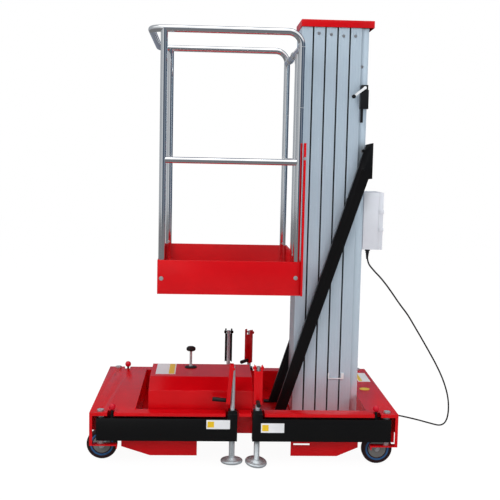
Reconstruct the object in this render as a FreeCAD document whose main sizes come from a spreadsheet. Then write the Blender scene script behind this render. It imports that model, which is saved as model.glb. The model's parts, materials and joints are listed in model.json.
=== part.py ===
"""Vertical mast lift on a wheeled base: red sheet base with four swing-out arms and screw jacks, a
five-section aluminium mast, and a tray platform with a bright tube guard rail.

+X runs along the base towards the mast, +Y away from the viewer, +Z up. The floor is Z = 0.
Sizes are in mm.
"""

import FreeCAD, Part
import math
import os
import re
import Sketcher

doc = FreeCAD.newDocument("MastLift")

# Every size that can be set by itself. (name, value, what it is)
SIZES = [
    ("origin_shift", 13, "moves the part so that the origin is under the middle of its box"),
    ("plate", 4, "sheet thickness of the base"),
    ("base_len", 1340, "length of the base over its end walls"),
    ("base_wid", 850, "width of the base over its lips"),
    ("deck_z", 242, "top of the base"),
    ("lip", 14, "height of the lip at the long edges"),
    ("strip_deep", 60, "width of the deck strip over the arm pocket"),
    ("beam_low", 137, "underside of the side beam and the floor pan"),
    ("corner_low", 96, "underside of the plate below each arm's pivot"),
    ("corner_deep", 37, "width of that corner plate"),
    ("corner_len", 118, "length of that corner plate"),
    ("tab_drop", 13, "how far its inner end turns down"),
    ("left_deck", 195, "length of the left end deck"),
    ("right_deck", 130, "length of the right end deck"),
    ("rim_up", 8, "upturned rim on the inner edge of the left end deck"),
    ("skirt_low", 35, "underside of the fork pocket skirts"),
    ("skirt_end", 132, "left end of the left skirt, in from the base's end"),
    ("skirt_in", 207, "inner edge of the skirts, from the middle"),
    ("skirt_step", 75, "height of the skirts' sloped ends"),
    ("skirt_slope", 257, "where the skirts start to slope, in from the base's ends"),
    ("skirt_end_r", 164, "right end of the right skirt, in from the base's end"),
    ("slot_x0", 219, "left end of the slot in the right skirt"),
    ("slot_len", 72, "length of that slot"),
    ("slot_z", 88, "middle height of that slot"),
    ("slot_tall", 8, "height of that slot"),
    ("wheel_dia", 136, "wheel over its tread"),
    ("wheel_wide", 34, "width of the tread"),
    ("rim_dia", 92, "outside of the wheel's ring, inside of its tyre"),
    ("axle_dia", 16, "wheel axle"),
    ("pin_fit", 0.05, "radial clearance of a pin in its hole"),
    ("run_gap", 0.3, "gap between faces that slide or turn past each other"),
    ("caster_in", 60, "swivel axis of the casters, in from the base's end"),
    ("caster_y", 300, "swivel axis of the casters, from the middle line"),
    ("caster_trail", 18, "trail of the caster wheels"),
    ("caster_top", 166, "top of the caster's fixed plate"),
    ("caster_plate", 5, "thickness of that plate"),
    ("fork_crown", 146, "underside of the fork's crown"),
    ("fork_side", 4, "thickness of the fork's legs"),
    ("fork_room", 5, "room between the wheel and the fork's legs"),
    ("fork_leg", 30, "width of the fork's legs"),
    ("race_dia", 56, "swivel race of the caster"),
    ("kingpin_dia", 14, "swivel pin of the caster"),
    ("arch_top", 148, "top of the openings for the wheels"),
    ("fixed_in", 77, "axle of the fixed wheels, in from the base's end"),
    ("fixed_y", 345, "middle of the fixed wheels, from the middle line"),
    ("pivot_in", 46, "arm pivots, in from the base's ends"),
    ("pivot_y", 398, "arm pivots, from the middle line"),
    ("pin_dia", 16, "arm pivot pins"),
    ("pin_head", 27, "width of the pins' heads"),
    ("pin_head_up", 9, "height of the pins' heads"),
    ("spacer_dia", 28, "spacer collars on the arm pins"),
    ("arm_low", 118, "underside of the arms"),
    ("arm_tall", 99, "height of the arms"),
    ("arm_deep", 50, "width of the arms"),
    ("arm_wall", 4, "wall of the arms"),
    ("arm_end_in", 29, "outer end of the arms, in from the base's ends"),
    ("arm_in", 33, "inner end of the arms, from the middle"),
    ("house_long", 43, "length of the jack housing at the arm's end"),
    ("collar_z", 252, "top of the jack housing"),
    ("knob_in", 95, "lock knobs, in from the base's ends"),
    ("knob_dia", 30, "ball of the lock knobs"),
    ("knob_z", 262, "middle height of the ball"),
    ("knob_neck", 11, "neck of the lock knobs"),
    ("notch_gap", 9, "room round the neck and the housing in the deck strip"),
    ("jack_x", 54.5, "jack axes, from the middle"),
    ("jack_tube", 25, "tube of the jacks"),
    ("jack_fit", 0.08, "radial clearance of the jack's tube in its housing"),
    ("jack_tube_top", 246, "top of the jack's tube"),
    ("screw_dia", 18, "screw of the jacks"),
    ("screw_top", 446, "top of the screw"),
    ("pad_dia", 97, "foot pad of the jacks"),
    ("pad_low", 18, "underside of the foot pads at the platform's end"),
    ("pad_low_right", 11, "underside of the foot pads on the mast side"),
    ("pad_thick", 14, "thickness of the pads' rim"),
    ("pad_hub", 34, "width of the boss on the pads"),
    ("pad_hub_up", 10, "height of that boss"),
    ("pad_tilt", 12, "tilt of the foot pads on the mast side, in degrees"),
    ("crank_top", 453, "top of the crank levers"),
    ("crank_low", 280, "lower end of the crank levers"),
    ("crank_wide", 38, "width of the crank levers"),
    ("crank_deep", 18, "depth of the crank levers' flanges"),
    ("crank_wall", 3, "thickness of the crank levers"),
    ("crank_lean", 5, "lean of the cranks that point away from the mast, in degrees"),
    ("crank_bolt_z", 438, "bolt through the crank and the screw"),
    ("crank_bolt", 8, "diameter of that bolt"),
    ("crank_slot", 26, "height of the open slot at the top of the lever"),
    ("grip_len", 60, "length of the crank grips"),
    ("grip_dia", 18, "diameter of the crank grips"),
    ("grip_z", 292, "middle height of the grips"),
    ("cover_in", 53, "left face of the power unit cover, from the left end deck"),
    ("cover_off", 105, "right face of the cover, from the foot of the braces"),
    ("cover_y0", -355, "front face of the cover"),
    ("cover_y1", 92, "rear face of the cover"),
    ("cover_slope", 102, "depth of its sloped edges"),
    ("cover_eaves", 324, "height of its upright faces"),
    ("cover_top", 362, "top of the cover"),
    ("cover_wall", 2, "sheet thickness of the cover"),
    ("pack_gap", 30, "room between the power pack and the cover"),
    ("grommet_in", 179, "rubber grommet on the cover, from the cover's left face"),
    ("grommet_y", -78, "rubber grommet on the cover"),
    ("grommet_dia", 57, "rubber grommet on the cover"),
    ("grommet_up", 5, "height of the grommet"),
    ("lowering_dia", 43, "mushroom head of the lowering knob"),
    ("lowering_up", 79, "height of the mushroom head's underside over the cover"),
    ("lowering_stem", 12, "stem of the lowering knob"),
    ("lowering_head", 20, "height of the mushroom head"),
    ("rear_len", 35.5, "length of the fixed section's rear box along X"),
    ("mast_pitch", 55.5, "from one mast section to the next"),
    ("mast_face", 48, "width of a section along X"),
    ("mast_deep", 222, "depth of the sections along Y"),
    ("mast_wall", 4, "wall of the sections"),
    ("mast_top", 1950, "top of the sections"),
    ("mast_low", 150, "underside of the moving sections"),
    ("web_y", 38, "inner webs of the sections, from the middle line"),
    ("rail_y", 72, "guide rails between the sections, from the middle line"),
    ("rail_neck", 8, "neck of the guide rails"),
    ("rail_head", 18, "head of the guide rails"),
    ("rail_thick", 4, "thickness of the guide rails' head"),
    ("back_deep", 200, "depth of the fixed section's rear box along Y"),
    ("cap_tall", 32, "height of the mast cap"),
    ("cap_over", 17, "top of the mast cap, over the sections"),
    ("cap_wall", 3, "thickness of the mast cap"),
    ("cap_tail", 21, "right face of the mast cap, past the mast's rear face"),
    ("cap_deep", 242, "depth of the mast cap along Y"),
    ("brace_y", 135, "middle of the mast braces, from the middle line"),
    ("brace_thick", 24, "thickness of the braces along Y"),
    ("brace_foot_out", 94.5, "left corner of the brace's foot, from the mast's left face"),
    ("brace_wide", 50, "width of the brace along X"),
    ("brace_top_in", 3.4, "left corner of the brace's top, from the mast's rear face"),
    ("brace_top_z", 1414, "top of the brace"),
    ("brace_end_out", 29, "right edge of the brace's top, past the mast's rear face"),
    ("brace_tail_z", 1260, "lower end of the brace's upright edge"),
    ("brace_plate", 6, "foot plate of the braces"),
    ("lock_in", 164.1, "left end of the section lock bracket, from the mast's left face"),
    ("lock_len", 73.4, "length of the section lock bracket"),
    ("lock_z0", 323, "underside of that bracket"),
    ("lock_z1", 351, "top of that bracket"),
    ("lock_off", 6, "how far that bracket stands off the mast"),
    ("switch_in", 37, "left side of the limit switch, from the mast's rear face"),
    ("switch_wide", 39, "width of the limit switch"),
    ("switch_up", 161, "underside of the limit switch, over the braces"),
    ("switch_tall", 85, "height of the switch's body"),
    ("switch_deep", 34, "depth of the limit switch"),
    ("box_out", 95, "right face of the control box, past the mast's rear face"),
    ("box_z0", 932, "underside of the control box"),
    ("box_z1", 1196, "top of the control box"),
    ("box_deep", 200, "depth of the control box along Y"),
    ("box_lid", 22, "thickness of the control box's lid"),
    ("box_back", 3, "plate between the mast and the control box"),
    ("box_wall", 3, "wall of the control box"),
    ("lid_gap", 0.5, "gap between the lid and the box"),
    ("hinge_dia", 8, "hinge pin of the lid"),
    ("gland_in", 61, "cord gland under the box, in from the box's right face"),
    ("gland_y", -60, "cord gland under the box"),
    ("gland_dia", 22, "cord gland under the box"),
    ("gland_len", 20, "cord gland under the box"),
    ("tray_len", 618, "length of the platform tray"),
    ("tray_off", 5.5, "mast side of the platform tray, from the mast's left face"),
    ("tray_wid", 740, "width of the platform tray along Y"),
    ("tray_z0", 752, "underside of the platform tray"),
    ("tray_z1", 900, "top of the toe boards"),
    ("tray_wall", 3, "thickness of the platform tray"),
    ("back_wid", 770, "width of the platform's back plate along Y"),
    ("flat_deep", 38, "depth of the upright flats along Y"),
    ("flat_top", 1411, "top of the upright flats"),
    ("flat_over", 3.5, "mast side of the upright flat, past the mast's left face"),
    ("tube", 30, "guard rail tube"),
    ("post_y", 350, "guard rail, from the middle line"),
    ("post_in", 18, "left posts, in from the tray's left side"),
    ("post_in_r", 18.3, "right posts, in from the tray's mast side"),
    ("rail_over", 71, "left end of the top rail, past the left posts"),
    ("rail_z", 1877, "middle height of the top rail"),
    ("bend", 58, "bend radius of the top rail"),
    ("mid_z", 1327, "middle height of the mid rails"),
    ("saddle_len", 120, "length of the cuts that seat the mid rails on the posts"),
    ("cross_z", 1815, "rail between the two bends on the mast side"),
    ("gate_y", -190, "middle post on the mast side"),
    ("gate_tube", 25, "middle post on the mast side"),
    ("handle_dia", 8, "handle rod behind the middle post"),
    ("collar_y0", -22, "first collar on the cross rail"),
    ("collar_y1", 180, "second collar on the cross rail"),
    ("collar_dia", 36, "collars on the cross rail"),
    ("collar_len", 12, "length of those collars"),
    ("latch_y", -110, "latch under the cross rail"),
    ("latch_long", 44, "length of that latch"),
    ("latch_tall", 36, "height of that latch"),
    ("latch_thick", 10, "thickness of that latch"),
    ("cord_dia", 7.5, "supply cord"),
    ("coil_ring", 41, "middle radius of the put-away coil"),
    ("coil_high", 24, "height of the put-away coil"),
    ("coil_band", 19, "width of the coil's band of turns"),
    ("coil_x", 420, "middle of the coil"),
    ("coil_y", 600, "middle of the coil"),
    ("plug_back", 33.7, "plug's end, from the middle of the coil"),
    ("plug_side", 46.4, "plug's axis, from the middle of the coil"),
    ("plug_len", 52, "length of the plug"),
    ("plug_dia", 34, "body of the plug"),
    ("plug_pin", 5, "pins of the plug"),
]

# Places that follow from those sizes. (name, formula, what it is)
PLACES = [
    ("back_x1", "base_len / 2 - right_deck", "rear face of the fixed section, at the right end deck"),
    ("mast_x0", "back_x1 - rear_len - mast_face - 4 * mast_pitch", "left face of the platform's section"),
    ("cap_top", "mast_top + cap_over", "top of the mast cap"),
    ("cap_low", "cap_top - cap_tall", "lower edge of the mast cap"),
    ("cap_x1", "back_x1 + cap_tail", "right face of the mast cap"),
    ("brace_foot_x", "mast_x0 - brace_foot_out", "left corner of the brace's foot"),
    ("brace_top_x", "back_x1 - brace_top_in", "left corner of the brace's top"),
    ("brace_end_x", "back_x1 + brace_end_out", "right edge of the brace's top"),
    ("lock_x0", "mast_x0 + lock_in", "left end of the section lock bracket"),
    ("lock_x1", "lock_x0 + lock_len", "right end of the section lock bracket"),
    ("switch_x0", "back_x1 - switch_in", "left side of the limit switch"),
    ("switch_x1", "switch_x0 + switch_wide", "right side of the limit switch"),
    ("switch_z0", "brace_top_z + switch_up", "underside of the limit switch"),
    ("switch_z1", "switch_z0 + switch_tall", "top of the switch's body"),
    ("box_x1", "back_x1 + box_out", "right face of the control box"),
    ("gland_x", "box_x1 - gland_in", "cord gland under the box"),
    ("caster_x", "base_len / 2 - caster_in", "swivel axis of the casters, left of the middle"),
    ("fixed_x", "base_len / 2 - fixed_in", "axle of the fixed wheels, right of the middle"),
    ("pivot_x", "base_len / 2 - pivot_in", "arm pivots, from the middle"),
    ("arm_end", "base_len / 2 - arm_end_in", "outer end of the arms, from the middle"),
    ("knob_x", "base_len / 2 - knob_in", "lock knobs, from the middle"),
    ("skirt_out", "base_len / 2 - skirt_end", "left end of the left skirt, from the middle"),
    ("skirt_out_r", "base_len / 2 - skirt_end_r", "right end of the right skirt, from the middle"),
    ("skirt_flat", "base_len / 2 - skirt_slope", "where the skirts start to slope, from the middle"),
    ("cover_x0", "left_deck - base_len / 2 + cover_in", "left face of the power unit cover"),
    ("cover_x1", "brace_foot_x - cover_off", "right face of the power unit cover"),
    ("grommet_x", "cover_x0 + grommet_in", "rubber grommet on the cover"),
    ("tray_x1", "mast_x0 - tray_off", "mast side of the platform tray"),
    ("tray_x0", "tray_x1 - tray_len", "left side of the platform tray"),
    ("flat_x1", "mast_x0 + flat_over", "mast side of the upright flat"),
    ("post_left_x", "tray_x0 + post_in", "left posts"),
    ("post_right_x", "tray_x1 - post_in_r", "right posts"),
    ("rail_left_x", "post_left_x - rail_over", "left end of the top rail"),
]

sheet = doc.addObject("Spreadsheet::Sheet", "Sizes")
sizes = {}
for row, (name, value, note) in enumerate((*SIZES, *PLACES), 1):
    sheet.set(f"A{row}", name)
    sheet.set(f"B{row}", f"={value}")
    sheet.setAlias(f"B{row}", name)
    sheet.set(f"C{row}", note)
    sizes[name] = value
doc.recompute()

WORD = re.compile(r"\b(" + "|".join(sizes) + r")\b")


def bind(thing, prop, text):
    """Ties one property to an expression of named sizes."""
    thing.setExpression(prop, WORD.sub(r"Sizes.\1", str(text)))


def number(text):
    """The present value of an expression of named sizes."""
    bare = WORD.sub(lambda m: f"Sizes.{m.group(1)}", str(text))
    value = sheet.evalExpression(bare)
    return float(getattr(value, "Value", value))


def box(x0, x1, y0, y1, z0, z1):
    made = doc.addObject("Part::Box", "Block")
    for side, axis, low, high in (("Length", "x", x0, x1), ("Width", "y", y0, y1), ("Height", "z", z0, z1)):
        bind(made, side, f"({high}) - ({low})")
        bind(made, f"Placement.Base.{axis}", low)
    return made


TURNS = {
    "Z": FreeCAD.Rotation(),
    "X": FreeCAD.Rotation(FreeCAD.Vector(0, 1, 0), 90),
    "-Y": FreeCAD.Rotation(FreeCAD.Vector(1, 0, 0), 90),
    "Y": FreeCAD.Rotation(FreeCAD.Vector(1, 0, 0), -90),
}


def place(made, x, y, z):
    for axis, text in zip("xyz", (x, y, z)):
        bind(made, f"Placement.Base.{axis}", text)
    return made


def rod(x, y, z, dia, length, axis="Z"):
    """A round bar from a point along an axis."""
    made = doc.addObject("Part::Cylinder", "Rod")
    bind(made, "Radius", f"({dia}) / 2")
    bind(made, "Height", length)
    made.Placement.Rotation = TURNS[axis]
    return place(made, x, y, z)


def cone(x, y, z, dia0, dia1, length):
    made = doc.addObject("Part::Cone", "Taper")
    bind(made, "Radius1", f"({dia0}) / 2")
    bind(made, "Radius2", f"({dia1}) / 2")
    bind(made, "Height", length)
    return place(made, x, y, z)


def ball(x, y, z, dia):
    made = doc.addObject("Part::Sphere", "Ball")
    bind(made, "Radius", f"({dia}) / 2")
    return place(made, x, y, z)


def ring(x, y, z, radius, dia, turn=FreeCAD.Rotation(), sweep=360):
    """A round bar bent about a centre; its arc starts at the turned +X."""
    made = doc.addObject("Part::Torus", "Bend")
    bind(made, "Radius1", radius)
    bind(made, "Radius2", f"({dia}) / 2")
    made.Angle3 = sweep
    made.Placement.Rotation = turn
    return place(made, x, y, z)


def hexagon(x, y, z, across, height):
    made = doc.addObject("Part::Prism", "Hex")
    made.Polygon = 6
    bind(made, "Circumradius", f"({across}) / sqrt(3)")
    bind(made, "Height", height)
    return place(made, x, y, z)


def outline(body, role, points):
    """A closed sketch on one of the body's own planes, each corner tied to its two expressions."""
    plane = [f for f in body.Origin.OriginFeatures if f.Role == role][0]
    sketch = body.newObject("Sketcher::SketchObject", "Outline")
    sketch.AttachmentSupport = (plane, [""])
    sketch.MapMode = "FlatFace"
    spots = [FreeCAD.Vector(number(a), number(b), 0) for a, b in points]
    for i, spot in enumerate(spots):
        sketch.addGeometry(Part.LineSegment(spot, spots[(i + 1) % len(spots)]), False)
    for i, spot in enumerate(spots):
        sketch.addConstraint(Sketcher.Constraint("Coincident", i, 2, (i + 1) % len(spots), 1))
        for kind, now, text in (("DistanceX", spot.x, points[i][0]), ("DistanceY", spot.y, points[i][1])):
            index = sketch.addConstraint(Sketcher.Constraint(kind, -1, 1, i, 1, now))
            bind(sketch, f"Constraints[{index}]", text)
    sketch.Visibility = False
    return sketch


def prism_y(points, y0, y1):
    """An outline of (x, z) corners, solid from y0 to y1."""
    body = doc.addObject("PartDesign::Body", "Profile")
    pad = body.newObject("PartDesign::Pad", "Pad")
    pad.Profile = outline(body, "XZ_Plane", points)
    pad.Reversed = True
    bind(pad, "Length", f"({y1}) - ({y0})")
    body.Tip = pad
    bind(body, "Placement.Base.y", y0)
    return body


def prism_x(points, x0, x1):
    """An outline of (y, z) corners, solid from x0 to x1."""
    body = doc.addObject("PartDesign::Body", "Profile")
    pad = body.newObject("PartDesign::Pad", "Pad")
    pad.Profile = outline(body, "YZ_Plane", points)
    bind(pad, "Length", f"({x1}) - ({x0})")
    body.Tip = pad
    bind(body, "Placement.Base.x", x0)
    return body


def turned_y(points, x, y, z):
    """An outline of (along the axle, radius) corners, revolved about an axle along Y."""
    body = doc.addObject("PartDesign::Body", "Turned")
    sketch = outline(body, "YZ_Plane", points)
    spin = body.newObject("PartDesign::Revolution", "Revolve")
    spin.Profile = sketch
    spin.ReferenceAxis = (sketch, ["H_Axis"])
    spin.Angle = 360
    body.Tip = spin
    return place(body, x, y, z)


def join(*pieces):
    made = doc.addObject("Part::MultiFuse", "Joined")
    made.Shapes = list(pieces)
    return made


def cut(base, *tools):
    made = doc.addObject("Part::Cut", "Cut")
    made.Base = base
    made.Tool = tools[0] if len(tools) == 1 else join(*tools)
    return made


def apart(*pieces):
    """Pieces that stay separate solids of one sub-part."""
    made = doc.addObject("Part::Compound", "Group")
    made.Links = list(pieces)
    return made


def mirror(source, axis):
    made = doc.addObject("Part::Mirroring", "Mirror")
    made.Source = source
    made.Normal = FreeCAD.Vector(*(1.0 if a == axis else 0.0 for a in "XYZ"))
    return made


def both_sides(piece):
    """The piece and its twin on the far side."""
    return [piece, mirror(piece, "Y")]


nodes = []


def node(label, made):
    """Names a sub-part and gives it its place."""
    holder = made if made.TypeId == "Part::Compound" else apart(made)
    bind(holder, "Placement.Base.x", "origin_shift")
    holder.Label = label
    nodes.append(holder)
    return holder


# The base: side beams with an open arm pocket, two end decks, a floor pan and fork skirts.
half_l = "base_len / 2"
half_w = "base_wid / 2"
wall_y = "(base_wid / 2 - strip_deep)"


def side_beam():
    strip = box(f"-{half_l}", half_l, f"-{half_w}", f"-{wall_y}", "deck_z - plate", "deck_z")
    edge = box(f"-{half_l}", half_l, f"-{half_w}", f"-{half_w} + plate", "deck_z - lip", "deck_z")
    wall = prism_y(
        [
            (f"-{half_l}", "deck_z"),
            (f"-{half_l}", "arch_top"),
            ("-skirt_out", "arch_top"),
            ("-skirt_out", "skirt_step"),
            ("-skirt_flat", "skirt_low"),
            ("-skirt_in", "skirt_low"),
            ("-skirt_in", "beam_low"),
            ("skirt_in", "beam_low"),
            ("skirt_in", "skirt_low"),
            ("skirt_flat", "skirt_low"),
            ("skirt_out_r", "skirt_step"),
            ("skirt_out_r", "arch_top"),
            (half_l, "arch_top"),
            (half_l, "deck_z"),
        ],
        f"-{wall_y}",
        f"-{wall_y} + plate",
    )
    slot = box(
        "slot_x0", "slot_x0 + slot_len", f"-{wall_y} - plate", f"-{wall_y} + 2 * plate",
        "slot_z - slot_tall / 2", "slot_z + slot_tall / 2",
    )
    pieces = [strip, edge, cut(wall, slot)]
    holes = []
    for s in (-1, 1):
        outer, inner = sorted((f"{s} * {half_l}", f"{s} * ({half_l} - corner_len)"), key=number)
        pieces.append(box(outer, inner, f"-{half_w}", f"-{half_w} + corner_deep", "corner_low",
            "corner_low + plate"))
        low, high = sorted((f"{s} * ({half_l} - corner_len)", f"{s} * ({half_l} - corner_len + plate)"),
            key=number)
        pieces.append(box(low, high, f"-{half_w}", f"-{half_w} + corner_deep", "corner_low - tab_drop",
            "corner_low"))
        low, high = sorted((f"{s} * {half_l}", f"{s} * ({half_l} - plate)"), key=number)
        pieces.append(box(low, high, f"-{half_w}", f"-{half_w} + corner_deep", "corner_low", "deck_z"))
        low, high = sorted(
            (f"{s} * (knob_x + knob_neck / 2 + notch_gap + 4)",
                f"{s} * (knob_x - knob_neck / 2 - notch_gap / 2)"),
            key=number,
        )
        holes.append(box(low, high, f"-{half_w} - 1", "-pivot_y + knob_neck / 2 + notch_gap",
            "deck_z - lip - 1", "deck_z + 1"))
        low, high = sorted((f"{s} * (arm_in - notch_gap / 1.5)",
            f"{s} * (arm_in + house_long + notch_gap)"), key=number)
        holes.append(box(low, high, f"-{half_w} - 1", f"-{wall_y} - 1", "deck_z - lip - 1", "deck_z + 1"))
        holes.append(rod(f"{s} * pivot_x", "-pivot_y", "corner_low - 1", "pin_dia",
            "deck_z - corner_low + 2"))
    return cut(join(*pieces), *holes)


def end_deck(x_out, x_in, x_lip0, x_lip1, rim_top):
    low, high = sorted((x_out, x_in), key=number)
    top = box(low, high, f"-{wall_y}", wall_y, "deck_z - plate", "deck_z")
    inner = box(x_lip0, x_lip1, f"-{wall_y}", wall_y, "beam_low", rim_top)
    return join(top, inner)


left_in = f"(-{half_l} + left_deck)"
right_in = f"({half_l} - right_deck)"
beams = join(*both_sides(side_beam()))
left_end = end_deck(f"-{half_l}", left_in, f"{left_in} - plate", left_in, "deck_z + rim_up")
right_end = end_deck(half_l, right_in, right_in, f"{right_in} + plate", "deck_z")
end_walls = cut(
    join(
        box(f"-{half_l}", f"-{half_l} + plate", f"-{half_w} + corner_deep", f"{half_w} - corner_deep",
            "corner_low", "deck_z"),
        box(f"{half_l} - plate", half_l, f"-{half_w} + corner_deep", f"{half_w} - corner_deep",
            "corner_low", "deck_z"),
    ),
    *[
        box(x0, x1, y0, y1, "corner_low - 1", "arch_top")
        for x0, x1 in ((f"-{half_l} - 1", f"-{half_l} + plate + 1"), (f"{half_l} - plate - 1",
            f"{half_l} + 1"))
        for y0, y1 in (
            (f"-{half_w} + corner_deep", "-caster_y + wheel_dia / 2 + 30"),
            ("caster_y - wheel_dia / 2 - 30", f"{half_w} - corner_deep"),
        )
    ],
)
shelves = [
    piece
    for shelf in [box(f"-{half_l} + 1", left_in, f"-{wall_y} + 1", "-caster_y + 70", "caster_top",
        "caster_top + plate")]
    for piece in both_sides(shelf)
]
node("base_frame", join(beams, left_end, right_end, end_walls, *shelves))
node("floor_pan", box(left_in, right_in, f"-{wall_y} + plate", f"{wall_y} - plate", "beam_low",
    "beam_low + plate"))

# Arm pivot pins with their heads and spacer collars.
pins = []
for s in (-1, 1):
    x = f"{s} * pivot_x"
    shank = rod(x, "-pivot_y", "corner_low", "pin_dia", "deck_z - corner_low")
    head = hexagon(x, "-pivot_y", "deck_z", "pin_head", "pin_head_up")
    low = rod(x, "-pivot_y", "corner_low + plate", "spacer_dia", "arm_low - run_gap - corner_low - plate")
    high = rod(
        x, "-pivot_y", "arm_low + arm_tall + run_gap", "spacer_dia",
            "deck_z - plate - arm_low - arm_tall - run_gap"
    )
    pins += both_sides(join(shank, head, low, high))

# Stub axles of the fixed wheels, on plates that hang from the end deck.
stub_face = "(fixed_y - wheel_wide / 2 - 6)"
stub = join(
    box("fixed_x - 30", "fixed_x + 30", f"-{stub_face}", f"-{stub_face} + 6", "wheel_dia / 2 - 26",
        "deck_z - plate"),
    box("fixed_x - 3", "fixed_x + 3", f"-{stub_face} + 6", f"-{stub_face} + 46", "beam_low",
        "deck_z - plate"),
    rod("fixed_x", f"-{stub_face}", "wheel_dia / 2", "axle_dia", "wheel_wide + 12", "-Y"),
    rod("fixed_x", f"-{stub_face}", "wheel_dia / 2", "axle_dia + 10", "6 - run_gap", "-Y"),
)
node("pins_and_stub_axles", apart(*pins, *both_sides(stub)))

# Caster swivels: a fixed plate with its pin on the base, and a fork that turns on the pin.
pin_low = "(fork_crown - 6)"
swivel_plate = join(
    box("-caster_x - 45", "-caster_x + 45", "-caster_y - 42", "-caster_y + 42",
        "caster_top - caster_plate", "caster_top"),
    rod("-caster_x", "-caster_y", pin_low, "kingpin_dia", f"caster_top - {pin_low}"),
)
node("caster_plates", apart(*both_sides(swivel_plate)))

fork_half = "(wheel_wide / 2 + fork_room + fork_side)"
axle_x = "(-caster_x - caster_trail)"
head_top = "(caster_top - caster_plate - run_gap)"
for side, s in (("near", -1), ("far", 1)):
    y = f"{s} * caster_y"
    crown = box("-caster_x - 30", "-caster_x + 26", f"{y} - {fork_half}", f"{y} + {fork_half}",
        "fork_crown", "fork_crown + fork_side")
    race = rod("-caster_x", y, "fork_crown", "race_dia", f"{head_top} - fork_crown")
    legs = []
    for inner in (f"{y} - {fork_half}", f"{y} + {fork_half} - fork_side"):
        legs.append(
            prism_y(
                [
                    ("-caster_x - 30", "fork_crown + fork_side"),
                    (f"{axle_x} - fork_leg / 2", "wheel_dia / 2"),
                    (f"{axle_x} - fork_leg / 4", "wheel_dia / 2 - fork_leg / 2"),
                    (f"{axle_x} + fork_leg / 4", "wheel_dia / 2 - fork_leg / 2"),
                    (f"{axle_x} + fork_leg / 2", "wheel_dia / 2"),
                    ("-caster_x + 26", "fork_crown + fork_side"),
                ],
                inner,
                f"{inner} + fork_side",
            )
        )
    bore = rod("-caster_x", y, "fork_crown - 10", "kingpin_dia + 2 * pin_fit",
        f"{head_top} - fork_crown + 20")
    axle = rod(axle_x, f"{y} - {fork_half} - 4", "wheel_dia / 2", "axle_dia", f"2 * {fork_half} + 8", "Y")
    washers = [
        rod(axle_x, f"{y} - {fork_half} + fork_side", "wheel_dia / 2", "axle_dia + 8",
            "fork_room - run_gap", "Y"),
        rod(axle_x, f"{y} + {fork_half} - fork_side", "wheel_dia / 2", "axle_dia + 8",
            "fork_room - run_gap", "-Y"),
    ]
    node(f"caster_fork_{side}", join(cut(join(crown, race, *legs), bore), axle, *washers))

# Wheels: a tyre on a ring with a stepped hub face.
hub_bore = "(axle_dia / 2 + pin_fit)"
w = "wheel_wide / 2"
WHEELS = [
    ("left_near", axle_x, "-caster_y"),
    ("left_far", axle_x, "caster_y"),
    ("right_near", "fixed_x", "-fixed_y"),
    ("right_far", "fixed_x", "fixed_y"),
]
for name, x, y in WHEELS:
    tyre = turned_y(
        [
            (f"-{w} + 1", "rim_dia / 2"),
            (f"-{w}", "rim_dia / 2 + 4"),
            (f"-{w}", "wheel_dia / 2 - 7"),
            (f"-{w} + 2", "wheel_dia / 2 - 3"),
            (f"-{w} + 7", "wheel_dia / 2"),
            (f"{w} - 7", "wheel_dia / 2"),
            (f"{w} - 2", "wheel_dia / 2 - 3"),
            (w, "wheel_dia / 2 - 7"),
            (w, "rim_dia / 2 + 4"),
            (f"{w} - 1", "rim_dia / 2"),
        ],
        x, y, "wheel_dia / 2",
    )
    node(f"tyre_{name}", tyre)
    hub = turned_y(
        [
            (f"-{w}", hub_bore),
            (f"-{w}", "16"),
            (f"-{w} + 3", "18"),
            (f"-{w} + 6", "30"),
            (f"-{w} + 2", "36"),
            (f"-{w} + 1", "rim_dia / 2"),
            (f"{w} - 1", "rim_dia / 2"),
            (f"{w} - 2", "36"),
            (f"{w} - 6", "30"),
            (f"{w} - 3", "18"),
            (w, "16"),
            (w, hub_bore),
        ],
        x, y, "wheel_dia / 2",
    )
    node(f"wheel_hub_{name}", hub)

# Swing-out arms: an open-ended tube with the jack's housing at its inner end.
arm_y0 = "(-pivot_y - arm_deep / 2)"
arm_y1 = "(-pivot_y + arm_deep / 2)"
arm_top = "(arm_low + arm_tall)"
house_in = "(-arm_in - house_long)"
shell = box("-arm_end", f"{house_in} + 1", arm_y0, arm_y1, "arm_low", arm_top)
hollow = box(
    "-arm_end - 1", f"{house_in} - arm_wall", f"{arm_y0} + arm_wall", f"{arm_y1} - arm_wall",
    "arm_low + arm_wall", f"{arm_top} - arm_wall",
)
housing = join(
    box(house_in, "-arm_in", arm_y0, arm_y1, "arm_low", f"{arm_top} + 21"),
    box(f"{house_in} + 3", "-arm_in - 3", f"{arm_y0} + 3", f"{arm_y1} - 3", f"{arm_top} + 21", "collar_z"),
)
bore = rod("-jack_x", "-pivot_y", "arm_low - 1", "jack_tube + 2 * jack_fit", "collar_z - arm_low + 2")
pin_hole = rod("-pivot_x", "-pivot_y", "arm_low - 1", "pin_dia + 2 * pin_fit", "arm_tall + 2")
corners = [
    prism_x([(a, "arm_low - 1"), (b, "arm_low - 1"), (b, f"{arm_top} + 1"), (a, f"{arm_top} + 1")],
        "-arm_end - 1", "-arm_end + 7")
    for a, b in ((f"{arm_y0} - 1", f"{arm_y0} + 1"), (f"{arm_y1} - 1", f"{arm_y1} + 1"))
]
arm = cut(join(cut(shell, hollow), housing), bore, pin_hole, *corners)
neck = join(
    rod("-knob_x", "-pivot_y", arm_top, "knob_neck", f"knob_z - {arm_top}"),
    rod("-knob_x", "-pivot_y", arm_top, "knob_neck + 9", 8),
    ball("-knob_x", "-pivot_y", "knob_z", "knob_dia"),
)
CORNERS = [("left_near", ""), ("left_far", "Y"), ("right_near", "X"), ("right_far", "XY")]
for name, flips in CORNERS:
    for label, made in (("arm", arm), ("arm_lock_knob", neck)):
        for axis in flips:
            made = mirror(made, axis)
        node(f"{label}_{name}", made)


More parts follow.
